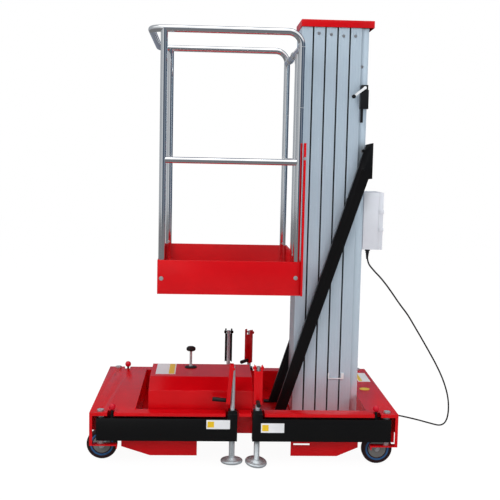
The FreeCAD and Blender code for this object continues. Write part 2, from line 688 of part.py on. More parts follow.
# Screw jacks: foot pad, tube, screw, and a crank lever that hangs beside the screw.
def hung(piece, x, y, turn, lean):
    """Hangs a crank's piece from its bolt: turned about the screw, then leaning."""
    hinge = FreeCAD.Vector(0, 0, number("crank_bolt_z"))
    swing = FreeCAD.Rotation(FreeCAD.Vector(0, 0, 1), turn)
    tip = FreeCAD.Rotation(FreeCAD.Vector(0, 1, 0), number(lean))
    piece.Placement = FreeCAD.Placement(FreeCAD.Vector(), tip.multiply(swing), hinge)
    bind(piece, "Placement.Base.x", f"{x} - crank_bolt_z * sin({lean} * 1 deg)")
    bind(piece, "Placement.Base.y", y)
    return piece


def foot(x, y, side, low, tilt):
    """The domed foot pad, tilted on its ball about a slanting line."""
    pad = join(
        rod(x, y, low, "pad_dia - pad_thick", "pad_thick"),
        ring(x, y, f"{low} + pad_thick / 2", "(pad_dia - pad_thick) / 2", "pad_thick"),
        cone(x, y, f"{low} + pad_thick", "pad_hub * 1.9", "pad_hub", "pad_hub_up"),
    )
    centre = FreeCAD.Vector(number(x), number(y), number(f"{low} + pad_thick + pad_hub_up"))
    slant = FreeCAD.Vector(-side, 0.6, 0)
    pad.Placement = FreeCAD.Placement(FreeCAD.Vector(), FreeCAD.Rotation(slant, number(tilt)), centre)
    return pad


def jack(x, y, side, low, tilt, turn, lean):
    base = f"({low} + pad_thick)"
    whole = join(
        foot(x, y, side, low, tilt),
        rod(x, y, f"{base} - 6", "jack_tube", f"jack_tube_top - {base} + 6"),
        cone(x, y, "jack_tube_top", "jack_tube", "screw_dia", 4),
        rod(x, y, "jack_tube_top", "screw_dia", "screw_top - jack_tube_top"),
    )
    hole = apart(rod("-screw_dia", 0, "crank_bolt_z", "crank_bolt + 2 * pin_fit", "2 * screw_dia", "X"))
    return cut(whole, hung(hole, x, y, turn, lean))


def crank(x, y, turn, lean):
    """The lever's web faces the viewer before it is turned."""
    half = "crank_wide / 2"
    y_web = "(-screw_dia / 2 - 4 - crank_wall)"
    web = box(f"-{half}", half, y_web, f"{y_web} + crank_wall", "crank_low", "crank_top")
    sides = [
        box(a, b, y_web, f"{y_web} + crank_deep", "crank_low", "crank_top")
        for a, b in ((f"-{half}", f"-{half} + crank_wall"), (f"{half} - crank_wall", half))
    ]
    slot_half = "(screw_dia / 2 + 2)"
    slot = box(
        f"-{slot_half}", slot_half, f"{y_web} - 1", f"{y_web} + crank_wall + 1",
        "crank_top - crank_slot", "crank_top + 1",
    )
    room = rod(0, 0, "crank_low - 1", "screw_dia + 0.6", "crank_top - crank_low + 2")
    bolt = rod(f"-{half} - 4", 0, "crank_bolt_z", "crank_bolt", "crank_wide + 8", "X")
    heads = [rod(a, 0, "crank_bolt_z", "crank_bolt + 6", 5, "X") for a in (f"-{half} - 5", half)]
    grip = rod(0, y_web, "grip_z", "grip_dia", "grip_len", "-Y")
    lever = join(cut(join(web, *sides), slot, room), bolt, *heads)
    return [hung(apart(piece), x, y, turn, lean) for piece in (lever, grip)]


# Corner, jack axis, side, underside and tilt of the pad, turn and lean of the crank.
JACKS = (
    ("left_near", "-jack_x", "-pivot_y", -1, "pad_low", "0", -90, "crank_lean"),
    ("left_far", "-jack_x", "pivot_y", 1, "pad_low", "0", 180, "0"),
    ("right_near", "jack_x", "-pivot_y", -1, "pad_low_right", "pad_tilt", 0, "0"),
    ("right_far", "jack_x", "pivot_y", 1, "pad_low_right", "pad_tilt", -35, "0"),
)
for corner, x, y, side, low, tilt, turn, lean in JACKS:
    lever, grip = crank(x, y, turn, lean)
    node(f"jack_screw_{corner}", jack(x, y, side, low, tilt, turn, lean))
    node(f"jack_crank_{corner}", apart(lever))
    node(f"crank_grip_{corner}", apart(grip))

# Power unit cover, the heavy pack below it, the grommet and the lowering knob.
cover_low = "(beam_low + plate)"


def hip(inset):
    """The cover's outline, inset by a wall."""
    return [
        (f"cover_y0 + {inset}", cover_low),
        (f"cover_y0 + {inset}", f"cover_eaves - {inset} / 2"),
        (f"cover_y0 + cover_slope + {inset} / 4", f"cover_top - {inset}"),
        (f"cover_y1 - cover_slope - {inset} / 4", f"cover_top - {inset}"),
        (f"cover_y1 - {inset}", f"cover_eaves - {inset} / 2"),
        (f"cover_y1 - {inset}", cover_low),
    ]


cover = cut(prism_x(hip("0"), "cover_x0", "cover_x1"), prism_x(hip("cover_wall"),
    "cover_x0 + cover_wall", "cover_x1 - cover_wall"))
node("power_unit_cover", cover)
node(
    "power_pack",
    box(
        "cover_x0 + pack_gap", "cover_x1 - pack_gap", "cover_y0 + pack_gap", "cover_y1 - pack_gap",
        cover_low, "cover_eaves - pack_gap",
    ),
)
node(
    "cover_grommet",
    cut(
        join(
            rod("grommet_x", "grommet_y", "cover_top", "grommet_dia", "grommet_up - 2"),
            cone("grommet_x", "grommet_y", "cover_top + grommet_up - 2", "grommet_dia", "grommet_dia - 8", 2),
        ),
        rod("grommet_x", "grommet_y", "cover_top - 1", "lowering_stem", "grommet_up + 2"),
    ),
)
head_z = "(cover_top + lowering_up)"
node(
    "lowering_knob",
    join(
        rod("grommet_x", "grommet_y", "cover_top", "lowering_stem", "lowering_up + 2"),
        rod("grommet_x", "grommet_y", "cover_top + grommet_up", "lowering_stem + 6", 6),
        cone("grommet_x", "grommet_y", head_z, "lowering_dia - 8", "lowering_dia", 5),
        rod("grommet_x", "grommet_y", f"{head_z} + 5", "lowering_dia", "lowering_head - 11"),
        cone("grommet_x", "grommet_y", f"{head_z} + lowering_head - 6", "lowering_dia",
            "lowering_dia - 14", 6),
    ),
)


# Mast sections: each is a ribbed box with guide rails that run in slots of the section before it.
def section(index, low, with_rails):
    x0 = f"(mast_x0 + {index} * mast_pitch)"
    x1 = f"({x0} + mast_face)"
    half = "mast_deep / 2"
    body = box(x0, x1, f"-{half}", half, low, "mast_top")
    rooms = [
        box(f"{x0} + mast_wall", f"{x1} - mast_wall", y0, y1, f"{low} - 1", "mast_top + 1")
        for y0, y1 in (
            (f"-{half} + mast_wall", "-web_y - mast_wall / 2"),
            ("-web_y + mast_wall / 2", "web_y - mast_wall / 2"),
            ("web_y + mast_wall / 2", f"{half} - mast_wall"),
        )
    ]
    if index < 4:
        rooms += [
            box(
                f"{x1} - mast_wall - 1", f"{x1} + 1", f"{s} * rail_y - rail_neck / 2 - run_gap",
                f"{s} * rail_y + rail_neck / 2 + run_gap", f"{low} - 1", "mast_top + 1",
            )
            for s in (-1, 1)
        ]
    grooves = [
        box(f"{x0} + mast_face * {share} - 1", f"{x0} + mast_face * {share} + 1", y0, y1, f"{low} - 1",
            "mast_top + 1")
        for share in (0.2, 0.5, 0.8)
        for y0, y1 in ((f"-{half} - 1", f"-{half} + 1"), (f"{half} - 1", f"{half} + 1"))
    ]
    made = cut(body, *rooms, *grooves)
    if not with_rails:
        return made
    reach = "(mast_pitch - mast_face + mast_wall)"
    rails = []
    for s in (-1, 1):
        rails.append(box(f"{x0} - {reach} - run_gap", x0, f"{s} * rail_y - rail_neck / 2",
            f"{s} * rail_y + rail_neck / 2", low, "mast_top"))
        rails.append(
            box(
                f"{x0} - {reach} - run_gap - rail_thick", f"{x0} - {reach} - run_gap",
                f"{s} * rail_y - rail_head / 2", f"{s} * rail_y + rail_head / 2", low, "mast_top",
            )
        )
    return join(made, *rails)


carriage_section = section(0, "mast_low", False)
node(
    "mast_section_1",
    join(carriage_section, box("mast_x0 + 6", "mast_x0 + mast_face - 6", "-40", "40", "mast_top - 1",
        "cap_top - cap_wall")),
)
for index in (1, 2, 3):
    node(f"mast_section_{index + 1}", section(index, "mast_low", True))
fixed_x1 = "(mast_x0 + 4 * mast_pitch + mast_face)"
rear = cut(
    box(fixed_x1, "back_x1", "-back_deep / 2", "back_deep / 2", cover_low, "mast_top"),
    box(f"{fixed_x1} - 1", "back_x1 - mast_wall", "-back_deep / 2 + mast_wall",
        "back_deep / 2 - mast_wall", f"{cover_low} - 1", "mast_top + 1"),
)
node("mast_section_5", join(section(4, cover_low, True), rear))

cap_x0 = "(mast_x0 - cap_wall - 0.5)"
node(
    "mast_cap",
    cut(
        box(cap_x0, "cap_x1", "-cap_deep / 2", "cap_deep / 2", "cap_low", "cap_top"),
        box(f"{cap_x0} + cap_wall", "cap_x1 - cap_wall", "-cap_deep / 2 + cap_wall",
            "cap_deep / 2 - cap_wall", "cap_low - 1", "cap_top - cap_wall"),
    ),
)

# Braces from the base to the back of the fixed section, joined by a cross plate there.
brace_y0 = "(-brace_y - brace_thick / 2)"
brace_y1 = "(-brace_y + brace_thick / 2)"
bar = prism_y(
    [
        ("brace_foot_x", cover_low),
        ("brace_foot_x + brace_wide", cover_low),
        ("brace_end_x - 17", "brace_tail_z - 2"),
        ("brace_end_x", "brace_tail_z"),
        ("brace_end_x", "brace_top_z + 8"),
        ("brace_top_x", "brace_top_z"),
    ],
    brace_y0,
    brace_y1,
)
foot = box("brace_foot_x - 22", "brace_foot_x + brace_wide + 14", f"{brace_y0} - 12", f"{brace_y1} + 4",
    cover_low, f"{cover_low} + brace_plate")
ear = box("back_x1 - 3", "brace_end_x", f"{brace_y1} - 2", f"{brace_y1} + 16", "brace_tail_z + 6",
    "brace_top_z")
cross = box("back_x1", "back_x1 + 6", f"{brace_y1} - 2", f"-{brace_y1} + 2", "brace_tail_z + 20",
    "brace_top_z - 20")
bolts = [rod("back_x1 - 16", f"{brace_y0} - 4", z, 14, 8, "Y") for z in ("brace_top_z - 28",
    "brace_tail_z + 40")]
braces = join(*both_sides(join(bar, foot, *bolts)), cross, *both_sides(cut(ear, box("back_x1 - 4",
    "back_x1", f"{brace_y1}", f"{brace_y1} + 17", "brace_tail_z", "brace_top_z + 1"))))
node("mast_braces", braces)

# Small bracket that holds the sections for transport, standing clear of the moving ones.
face_y = "(-mast_deep / 2)"
node(
    "section_lock_bracket",
    join(
        box("lock_x0", "lock_x1", f"{face_y} - lock_off - 4", f"{face_y} - lock_off", "lock_z0",
            "lock_z0 + 5"),
        box("lock_x0", "lock_x0 + 5", f"{face_y} - lock_off - 4", f"{face_y} - lock_off", "lock_z0",
            "lock_z1"),
        box("lock_x1 - 12", "lock_x1", f"{face_y} - lock_off - 4", face_y, "lock_z0", "lock_z1"),
    ),
)

# Limit switch with its roller lever, on the fixed section.
switch_y = "(-back_deep / 2)"
lever_z = "(switch_z1 + 8)"
node(
    "limit_switch",
    join(
        box("switch_x0 + 2", "switch_x1", f"{switch_y} - switch_deep", switch_y, "switch_z0", "switch_z1"),
        box("switch_x0 + 7", "switch_x1 - 3", f"{switch_y} - switch_deep + 2", f"{switch_y} - 2",
            "switch_z1", "switch_z1 + 22"),
        rod("switch_x0 + 12", f"{switch_y} - switch_deep / 2", "switch_z0 - 62", 13, 62),
        rod("switch_x0 + 20", f"{switch_y} - switch_deep - 10", lever_z, 14, 12, "Y"),
        prism_y(
            [
                ("switch_x0 + 18", f"{lever_z} + 6"),
                ("switch_x0 - 34", f"{lever_z} - 36"),
                ("switch_x0 - 28", f"{lever_z} - 44"),
                ("switch_x0 + 24", f"{lever_z} - 4"),
            ],
            f"{switch_y} - switch_deep - 10",
            f"{switch_y} - switch_deep - 6",
        ),
        rod("switch_x0 - 31", f"{switch_y} - switch_deep - 16", f"{lever_z} - 40", 18, 10, "Y"),
    ),
)

# Control box on the back of the mast, with its lid hinged at the far side.
box_x0 = "(back_x1 + box_back)"
box_y0 = "(-box_deep / 2)"
box_y1 = "(box_deep / 2)"
lid_x0 = "(box_x1 - box_lid)"
shell = cut(
    box(box_x0, f"{lid_x0} - lid_gap", box_y0, box_y1, "box_z0", "box_z1"),
    box(
        f"{box_x0} + box_wall", "box_x1", f"{box_y0} + box_wall", f"{box_y1} - box_wall",
        "box_z0 + box_wall", "box_z1 - box_wall",
    ),
)
plate = box("back_x1", box_x0, f"{box_y0} + 10", f"{box_y1} - 10", "box_z0 - 12", "box_z1 + 12")
hinge_x = "(box_x1 - box_lid)"
hinge_y = "(box_deep / 2 + (hinge_dia + 5) / 2 + 1)"
knuckles = [
    join(
        cut(rod(hinge_x, hinge_y, z, "hinge_dia + 5", 24), rod(hinge_x, hinge_y, f"{z} - 1",
            "hinge_dia / 2", 26)),
        rod(hinge_x, hinge_y, f"{z} - 20", "hinge_dia / 2", 44),
        box(f"{hinge_x} - 16", f"{hinge_x} - 3", box_y1, f"{hinge_y}", z, f"{z} + 24"),
    )
    for z in ("box_z0 + 50", "box_z1 - 54")
]
node("control_box", join(shell, plate, *knuckles))
leaves = [
    join(
        rod(hinge_x, hinge_y, f"{z} - 20.5", "hinge_dia + 5", 20),
        box(f"{hinge_x} + 3", f"{hinge_x} + 16", f"{box_y1} - 1", f"{hinge_y}", f"{z} - 20.5", f"{z} - 0.5"),
    )
    for z in ("box_z0 + 50", "box_z1 - 54")
]
lid = cut(
    box(lid_x0, "box_x1", box_y0, box_y1, "box_z0", "box_z1"),
    box(f"{lid_x0} - 1", "box_x1 - box_wall", f"{box_y0} + box_wall", f"{box_y1} - box_wall",
        "box_z0 + box_wall", "box_z1 - box_wall"),
)
catches = [
    box(f"{lid_x0} + 4", "box_x1 + 2", f"{box_y0} - 6", f"{box_y0}", z, f"{z} + 16")
    for z in ("box_z1 - 96", "box_z1 - 178")
]
pin_bores = [rod(hinge_x, hinge_y, f"{z} - 21", "hinge_dia / 2 + 2 * pin_fit",
    21) for z in ("box_z0 + 50", "box_z1 - 54")]
node("control_box_lid", cut(join(lid, *leaves, *catches), *pin_bores))
node(
    "cord_gland",
    join(
        hexagon("gland_x", "gland_y", "box_z0 - gland_len / 2", "gland_dia", "gland_len / 2"),
        rod("gland_x", "gland_y", "box_z0 - gland_len", "gland_dia - 5", "gland_len / 2"),
    ),
)

# Platform: tray with toe boards, back plate with an upright flat on the near side, and the guard rail.
tray_y = "tray_wid / 2"
tray = cut(
    box("tray_x0", "tray_x1", f"-{tray_y}", tray_y, "tray_z0", "tray_z1"),
    box("tray_x0 + tray_wall", "tray_x1 - tray_wall", f"-{tray_y} + tray_wall", f"{tray_y} - tray_wall",
        "tray_z0 + tray_wall", "tray_z1 + 1"),
)
node("platform_tray", tray)
upright = box("tray_x1", "flat_x1", "-back_wid / 2", "-back_wid / 2 + flat_deep", "tray_z0", "flat_top")
node("platform_back_frame", join(box("tray_x1", "mast_x0", "-back_wid / 2", "back_wid / 2", "tray_z0",
    "tray_z1"), upright))

floor_z = "(tray_z0 + tray_wall)"
down = f"rail_z - bend - {floor_z}"
rail = []
for s in (-1, 1):
    y = f"{s} * post_y"
    corner = FreeCAD.Rotation(FreeCAD.Vector(0, 0, 1), 180 if s < 0 else 90)
    fall = FreeCAD.Rotation(FreeCAD.Vector(1, 0, 0), 90)
    rail += [
        rod("rail_left_x + bend", y, "rail_z", "tube", "post_right_x - rail_left_x - 2 * bend", "X"),
        ring("rail_left_x + bend", f"{s} * (post_y - bend)", "rail_z", "bend", "tube", corner, 90),
        ring("post_right_x - bend", y, "rail_z - bend", "bend", "tube", fall, 90),
        rod("post_right_x", y, floor_z, "tube", down),
    ]
rail.append(rod("rail_left_x", "-post_y + bend", "rail_z", "tube", "2 * (post_y - bend)", "Y"))
rail.append(rod("post_right_x", "-post_y", "cross_z", "tube - 2", "2 * post_y", "Y"))
node("top_rail", join(*rail))
left_posts = both_sides(rod("post_left_x", "-post_y", floor_z, "tube", f"rail_z - {floor_z}"))
clear = rod("post_left_x - 50", "-post_y", "rail_z", "tube", 100, "X")
left_posts = [cut(post, saddle) for post, saddle in zip(left_posts, both_sides(clear))]
node("left_posts", apart(*left_posts))
gate = cut(
    rod("post_right_x", "gate_y", floor_z, "gate_tube", f"cross_z - {floor_z}"),
    rod("post_right_x", "gate_y - 50", "cross_z", "tube - 2", 100, "Y"),
)
node("middle_post", gate)
mid = [
    rod("post_left_x + tube / 2 - 3", "-post_y", "mid_z", "tube - 4",
        "post_right_x - post_left_x - tube + 6", "X"),
    rod("post_left_x + tube / 2 - 3", "post_y", "mid_z", "tube - 4",
        "post_right_x - post_left_x - tube + 6", "X"),
    rod("post_left_x", "-post_y + tube / 2 - 3", "mid_z", "tube - 4", "2 * post_y - tube + 6", "Y"),
    rod("post_right_x", "gate_y + gate_tube / 2 - 2", "mid_z + 14", "handle_dia",
        "post_y - gate_y - gate_tube / 2 - tube / 2 + 5", "Y"),
]
upright = [rod("post_left_x", f"{s} * post_y", "mid_z - saddle_len / 2", "tube", "saddle_len") for s in (-1, 1)]
upright += [rod("post_right_x", f"{s} * post_y", "mid_z - saddle_len / 2", "tube", "saddle_len") for s in (-1, 1)]
upright += [rod("post_right_x", "gate_y", "mid_z - saddle_len / 2", "gate_tube", "saddle_len")]
node("mid_rails", apart(cut(apart(*mid), *upright)))
fittings = [
    cut(
        rod("post_right_x", f"{y} - collar_len / 2", "cross_z", "collar_dia", "collar_len", "Y"),
        rod("post_right_x", f"{y} - collar_len", "cross_z", "tube - 2", "2 * collar_len", "Y"),
    )
    for y in ("collar_y0", "collar_y1")
]
fittings.append(
    cut(
        join(
            box("post_right_x - latch_thick / 2", "post_right_x + latch_thick / 2",
                "latch_y - latch_long / 2", "latch_y + latch_long / 2", "cross_z - latch_tall", "cross_z"),
            rod("post_right_x", "latch_y + latch_long / 4", "cross_z - latch_tall - 8", 10, 16),
        ),
        rod("post_right_x", "latch_y - latch_long", "cross_z", "tube - 2", "2 * latch_long", "Y"),
    )
)
node("rail_fittings", apart(*fittings))


# Supply cord: its free run from the gland to the floor and on behind the base, then the coil and the plug.
ROUTE = [
    (574, -60, 912),
    (574, -60, 870),
    (603, -58, 834),
    (648, -55, 790),
    (692, -52, 735),
    (737, -50, 672),
    (780, -48, 620),
    (814, -44, 566),
    (850, -38, 510),
    (893, -28, 442),
    (940, -12, 366),
    (984, 10, 284),
    (1018, 40, 196),
    (1034, 78, 112),
    (1036, 122, 48),
    (1022, 172, 12),
    (990, 236, 4.5),
    (936, 300, 4.5),
    (870, 362, 4.5),
    (790, 420, 4.5),
    (704, 470, 4.5),
    (612, 505, 4.5),
    (526, 532, 4.5),
    (462, 545.6, 4.5),
    (408, 545.6, 4.5),
]


def corner_arcs(points):
    """The straight runs of a route joined by tangent arcs, as edges, with the arcs' radii."""
    edges, radii, start = [], [], points[0]
    for before, at, after in zip(points, points[1:], points[2:]):
        a, b = (before - at), (after - at)
        turn = math.pi - a.getAngle(b)
        radius = 0.45 * min(a.Length, b.Length) / math.tan(turn / 2)
        back = radius * math.tan(turn / 2)
        a.normalize()
        b.normalize()
        enter, leave = at + a * back, at + b * back
        middle = a + b
        middle.normalize()
        top = at + middle * (radius / math.cos(turn / 2) - radius)
        edges += [Part.LineSegment(start, enter).toShape(), Part.Arc(enter, top, leave).toShape()]
        radii.append(radius)
        start = leave
    edges.append(Part.LineSegment(start, points[-1]).toShape())
    return edges, radii


def cord_tube():
    points = [FreeCAD.Vector(*p) for p in ROUTE]
    edges, radii = corner_arcs(points)
    path = Part.Wire(edges)
    radius = number("cord_dia / 2")
    start = Part.Wire(Part.Circle(points[0], points[1] - points[0], radius).toShape())
    pipe = path.makePipeShell([start], True, True)
    expected = math.pi * radius**2 * path.Length
    if abs(pipe.Volume - expected) > 0.01 * expected:
        raise RuntimeError("the cord's volume is not its section times its length")
    print(f"cord run {path.Length:.0f} mm, radii {min(radii):.0f} to {max(radii):.0f} mm")
    return pipe


cord = doc.addObject("Part::Feature", "CordRun")
cord.Shape = cord_tube()
node("supply_cord", cord)
coil = cut(
    rod("coil_x", "coil_y", 0.75, "2 * coil_ring + coil_band", "coil_high"),
    rod("coil_x", "coil_y", -1, "2 * coil_ring - coil_band", "coil_high + 4"),
)
node("cord_coil", coil)
plug_z = "plug_dia / 2 + 1"
plug_x = "(coil_x - plug_back)"
plug_y = "(coil_y - plug_side)"
node(
    "cord_plug",
    join(
        rod(f"{plug_x} - plug_len", plug_y, plug_z, "plug_dia", "plug_len * 0.6", "X"),
        rod(f"{plug_x} - plug_len * 0.4", plug_y, plug_z, "plug_dia * 0.5", "plug_len * 0.4", "X"),
        *[rod(f"{plug_x} - plug_len - 19", f"{plug_y} + {s} * 9.5", plug_z, "plug_pin", 20,
            "X") for s in (-1, 1)],
    ),
)

doc.recompute()

for thing in doc.Objects:
    if "Invalid" in thing.State or "Error" in thing.State:
        raise RuntimeError(f"{thing.Name} ({thing.Label}) did not build: {thing.State}")
os.makedirs("parts", exist_ok=True)
for made in nodes:
    shape = made.Shape
    if shape.isNull() or not shape.isValid() or not shape.Solids:
        raise RuntimeError(f"{made.Label} is not a valid solid")
    shape.exportStep(f"parts/{made.Label}.step")
print(len(nodes), "sub-parts")
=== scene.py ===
import json
import math

import bmesh
import bpy
from mathutils import Matrix, Vector


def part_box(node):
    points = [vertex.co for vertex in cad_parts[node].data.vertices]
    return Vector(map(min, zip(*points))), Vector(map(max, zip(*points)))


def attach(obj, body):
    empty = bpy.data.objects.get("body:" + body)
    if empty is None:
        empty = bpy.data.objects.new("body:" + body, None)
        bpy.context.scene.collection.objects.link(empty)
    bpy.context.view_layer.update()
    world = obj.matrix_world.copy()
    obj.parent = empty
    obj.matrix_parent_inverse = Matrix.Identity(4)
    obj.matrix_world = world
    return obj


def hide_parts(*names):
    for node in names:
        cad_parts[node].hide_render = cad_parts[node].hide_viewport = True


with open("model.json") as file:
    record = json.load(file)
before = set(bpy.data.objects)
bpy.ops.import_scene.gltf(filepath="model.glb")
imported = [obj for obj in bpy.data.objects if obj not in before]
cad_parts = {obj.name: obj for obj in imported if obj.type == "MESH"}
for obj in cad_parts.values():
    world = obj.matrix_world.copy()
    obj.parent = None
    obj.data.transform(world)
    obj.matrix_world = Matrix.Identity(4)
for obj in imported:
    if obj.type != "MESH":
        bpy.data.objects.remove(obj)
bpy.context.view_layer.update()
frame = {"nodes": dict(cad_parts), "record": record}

bl_info = {
    "name": "Vertical mast lift",
    "version": (1, 0, 0),
    "blender": (4, 5, 0),
    "location": "3D View > Sidebar > Mast Lift",
    "description": "Dresses the CAD frame of a wheeled vertical mast lift",
    "category": "Object",
}

# The part's box is centred on the origin, 13 mm to the right of the base's own middle.
BASE_SHIFT = 13
CORNERS = ("left_near", "left_far", "right_near", "right_far")


def at(x, y, z):
    """A point in metres from millimetres measured from the middle of the base."""
    return Vector(((x + BASE_SHIFT) / 1000, y / 1000, z / 1000))


def side_of(corner):
    """-1 on the near side and 1 on the far side."""
    return -1 if corner.endswith("near") else 1


def end_of(corner):
    """-1 at the platform's end and 1 at the mast's end."""
    return -1 if corner.startswith("left") else 1


class LiftColours(bpy.types.PropertyGroup):
    """Finishes a user may repaint."""

    red: bpy.props.FloatVectorProperty(
        name="Red", description="Paint of the base and platform", subtype="COLOR", size=3,
        default=(0.60, 0.0008, 0.0045), min=0, max=1,
    )
    black: bpy.props.FloatVectorProperty(
        name="Black", description="Paint of the arms and braces", subtype="COLOR", size=3,
        default=(0.0042, 0.0042, 0.0044), min=0, max=1,
    )
    mast: bpy.props.FloatVectorProperty(
        name="Mast", description="Aluminium of the mast sections", subtype="COLOR", size=3,
        default=(0.72, 0.86, 1.0), min=0, max=1,
    )
    chrome: bpy.props.FloatVectorProperty(
        name="Rails", description="Bright metal of the guard rail", subtype="COLOR", size=3,
        default=(0.82, 0.83, 0.83), min=0, max=1,
    )
    ring: bpy.props.FloatVectorProperty(
        name="Wheel ring", description="Blue ring of the wheels", subtype="COLOR", size=3,
        default=(0.020, 0.095, 0.24), min=0, max=1,
    )


class LiftSizes(bpy.types.PropertyGroup):
    """Sizes of the pieces that the frame leaves to the finish."""

    edge: bpy.props.FloatProperty(
        name="Folded edge", description="Rounding of the sheet edges",
        default=0.0015, min=0, subtype="DISTANCE", unit="LENGTH",
    )
    thread: bpy.props.FloatProperty(
        name="Thread pitch", description="Pitch of the jack screws",
        default=0.004, min=0.001, subtype="DISTANCE", unit="LENGTH",
    )
    plate: bpy.props.FloatProperty(
        name="Plate", description="Thickness of the blank plates",
        default=0.0006, min=0.0001, subtype="DISTANCE", unit="LENGTH",
    )
    cord: bpy.props.FloatProperty(
        name="Cord", description="Diameter of the supply cord",
        default=0.0075, min=0.002, subtype="DISTANCE", unit="LENGTH",
    )


def colours():
    return bpy.context.scene.lift_colours


def sizes():
    return bpy.context.scene.lift_sizes


# Materials
def shader(name):
    """A new material, its tree and its Principled shader."""
    made = bpy.data.materials.new(name)
    made.use_nodes = True
    tree = made.node_tree
    return made, tree, tree.nodes["Principled BSDF"]


def pattern(tree, kind, scale, stretch=(1, 1, 1), detail=4):
    """A noise or cell pattern on Object coordinates, stretched by a Mapping node."""
    where = tree.nodes.new("ShaderNodeTexCoord")
    turn = tree.nodes.new("ShaderNodeMapping")
    turn.inputs["Scale"].default_value = stretch
    tree.links.new(where.outputs["Object"], turn.inputs["Vector"])
    made = tree.nodes.new(kind)
    made.inputs["Scale"].default_value = scale
    if "Detail" in made.inputs:
        made.inputs["Detail"].default_value = detail
    tree.links.new(turn.outputs["Vector"], made.inputs["Vector"])
    return made


def vary_colour(tree, bsdf, source, low, high, start=0.3, stop=0.7):
    """The base colour runs between two colours with the pattern."""
    ramp = tree.nodes.new("ShaderNodeValToRGB")
    ramp.color_ramp.elements[0].position = start
    ramp.color_ramp.elements[0].color = (*low, 1)
    ramp.color_ramp.elements[1].position = stop
    ramp.color_ramp.elements[1].color = (*high, 1)
    tree.links.new(source, ramp.inputs["Fac"])
    tree.links.new(ramp.outputs["Color"], bsdf.inputs["Base Color"])


def vary_roughness(tree, bsdf, source, low, high):
    """The roughness runs between two values with the pattern."""
    spread = tree.nodes.new("ShaderNodeMapRange")
    spread.inputs["To Min"].default_value = low
    spread.inputs["To Max"].default_value = high
    tree.links.new(source, spread.inputs["Value"])
    tree.links.new(spread.outputs["Result"], bsdf.inputs["Roughness"])


def relief(tree, bsdf, source, strength, distance):
    """Fine relief from the pattern."""
    bump = tree.nodes.new("ShaderNodeBump")
    bump.inputs["Strength"].default_value = strength
    bump.inputs["Distance"].default_value = distance
    tree.links.new(source, bump.inputs["Height"])
    tree.links.new(bump.outputs["Normal"], bsdf.inputs["Normal"])


def tinted(colour, share):
    """The colour made lighter or darker."""
    return tuple(min(1.0, part * share) for part in colour)


def paint(name, colour, roughness, coat, shine=0.35):
    """Gloss paint with a faint orange peel and a little handling dust."""
    made, tree, bsdf = shader(name)
    bsdf.inputs["Coat Weight"].default_value = coat
    bsdf.inputs["Coat Roughness"].default_value = 0.12
    bsdf.inputs["Specular IOR Level"].default_value = shine
    cloud = pattern(tree, "ShaderNodeTexNoise", 6.0)
    vary_colour(tree, bsdf, cloud.outputs["Fac"], tinted(colour, 0.90), tinted(colour, 1.06))
    vary_roughness(tree, bsdf, cloud.outputs["Fac"], roughness - 0.03, roughness + 0.05)
    peel = pattern(tree, "ShaderNodeTexNoise", 420.0, detail=1)
    relief(tree, bsdf, peel.outputs["Fac"], 0.05, 0.0004)
    return made


def drawn_metal(name, colour, metallic, low, high, stretch):
    """Metal with fine lines along one axis, as extrusion or grinding leaves them."""
    made, tree, bsdf = shader(name)
    bsdf.inputs["Metallic"].default_value = metallic
    lines = pattern(tree, "ShaderNodeTexNoise", 60.0, stretch, detail=3)
    vary_colour(tree, bsdf, lines.outputs["Fac"], tinted(colour, 0.93), tinted(colour, 1.05))
    vary_roughness(tree, bsdf, lines.outputs["Fac"], low, high)
    relief(tree, bsdf, lines.outputs["Fac"], 0.06, 0.0003)
    return made


def polished(name, colour, roughness):
    """Bright tube with faint haze."""
    made, tree, bsdf = shader(name)
    bsdf.inputs["Metallic"].default_value = 1.0
    bsdf.inputs["Base Color"].default_value = (*colour, 1)
    haze = pattern(tree, "ShaderNodeTexNoise", 35.0)
    vary_roughness(tree, bsdf, haze.outputs["Fac"], roughness * 0.8, roughness * 1.2)
    return made


def zinc_dipped(name, colour):
    """Galvanised steel with its crystal flakes."""
    made, tree, bsdf = shader(name)
    bsdf.inputs["Metallic"].default_value = 0.75
    flakes = pattern(tree, "ShaderNodeTexVoronoi", 160.0)
    vary_colour(tree, bsdf, flakes.outputs["Color"], tinted(colour, 0.80), tinted(colour, 1.12), 0.1, 0.9)
    vary_roughness(tree, bsdf, flakes.outputs["Distance"], 0.30, 0.50)
    return made


def moulded(name, colour, roughness, grain=260.0):
    """Rubber or plastic with a fine grain."""
    made, tree, bsdf = shader(name)
    bsdf.inputs["Base Color"].default_value = (*colour, 1)
    bsdf.inputs["Specular IOR Level"].default_value = 0.35
    grit = pattern(tree, "ShaderNodeTexNoise", grain, detail=2)
    vary_roughness(tree, bsdf, grit.outputs["Fac"], roughness - 0.05, roughness + 0.10)
    relief(tree, bsdf, grit.outputs["Fac"], 0.12, 0.0003)
    return made


FINISHES = {}


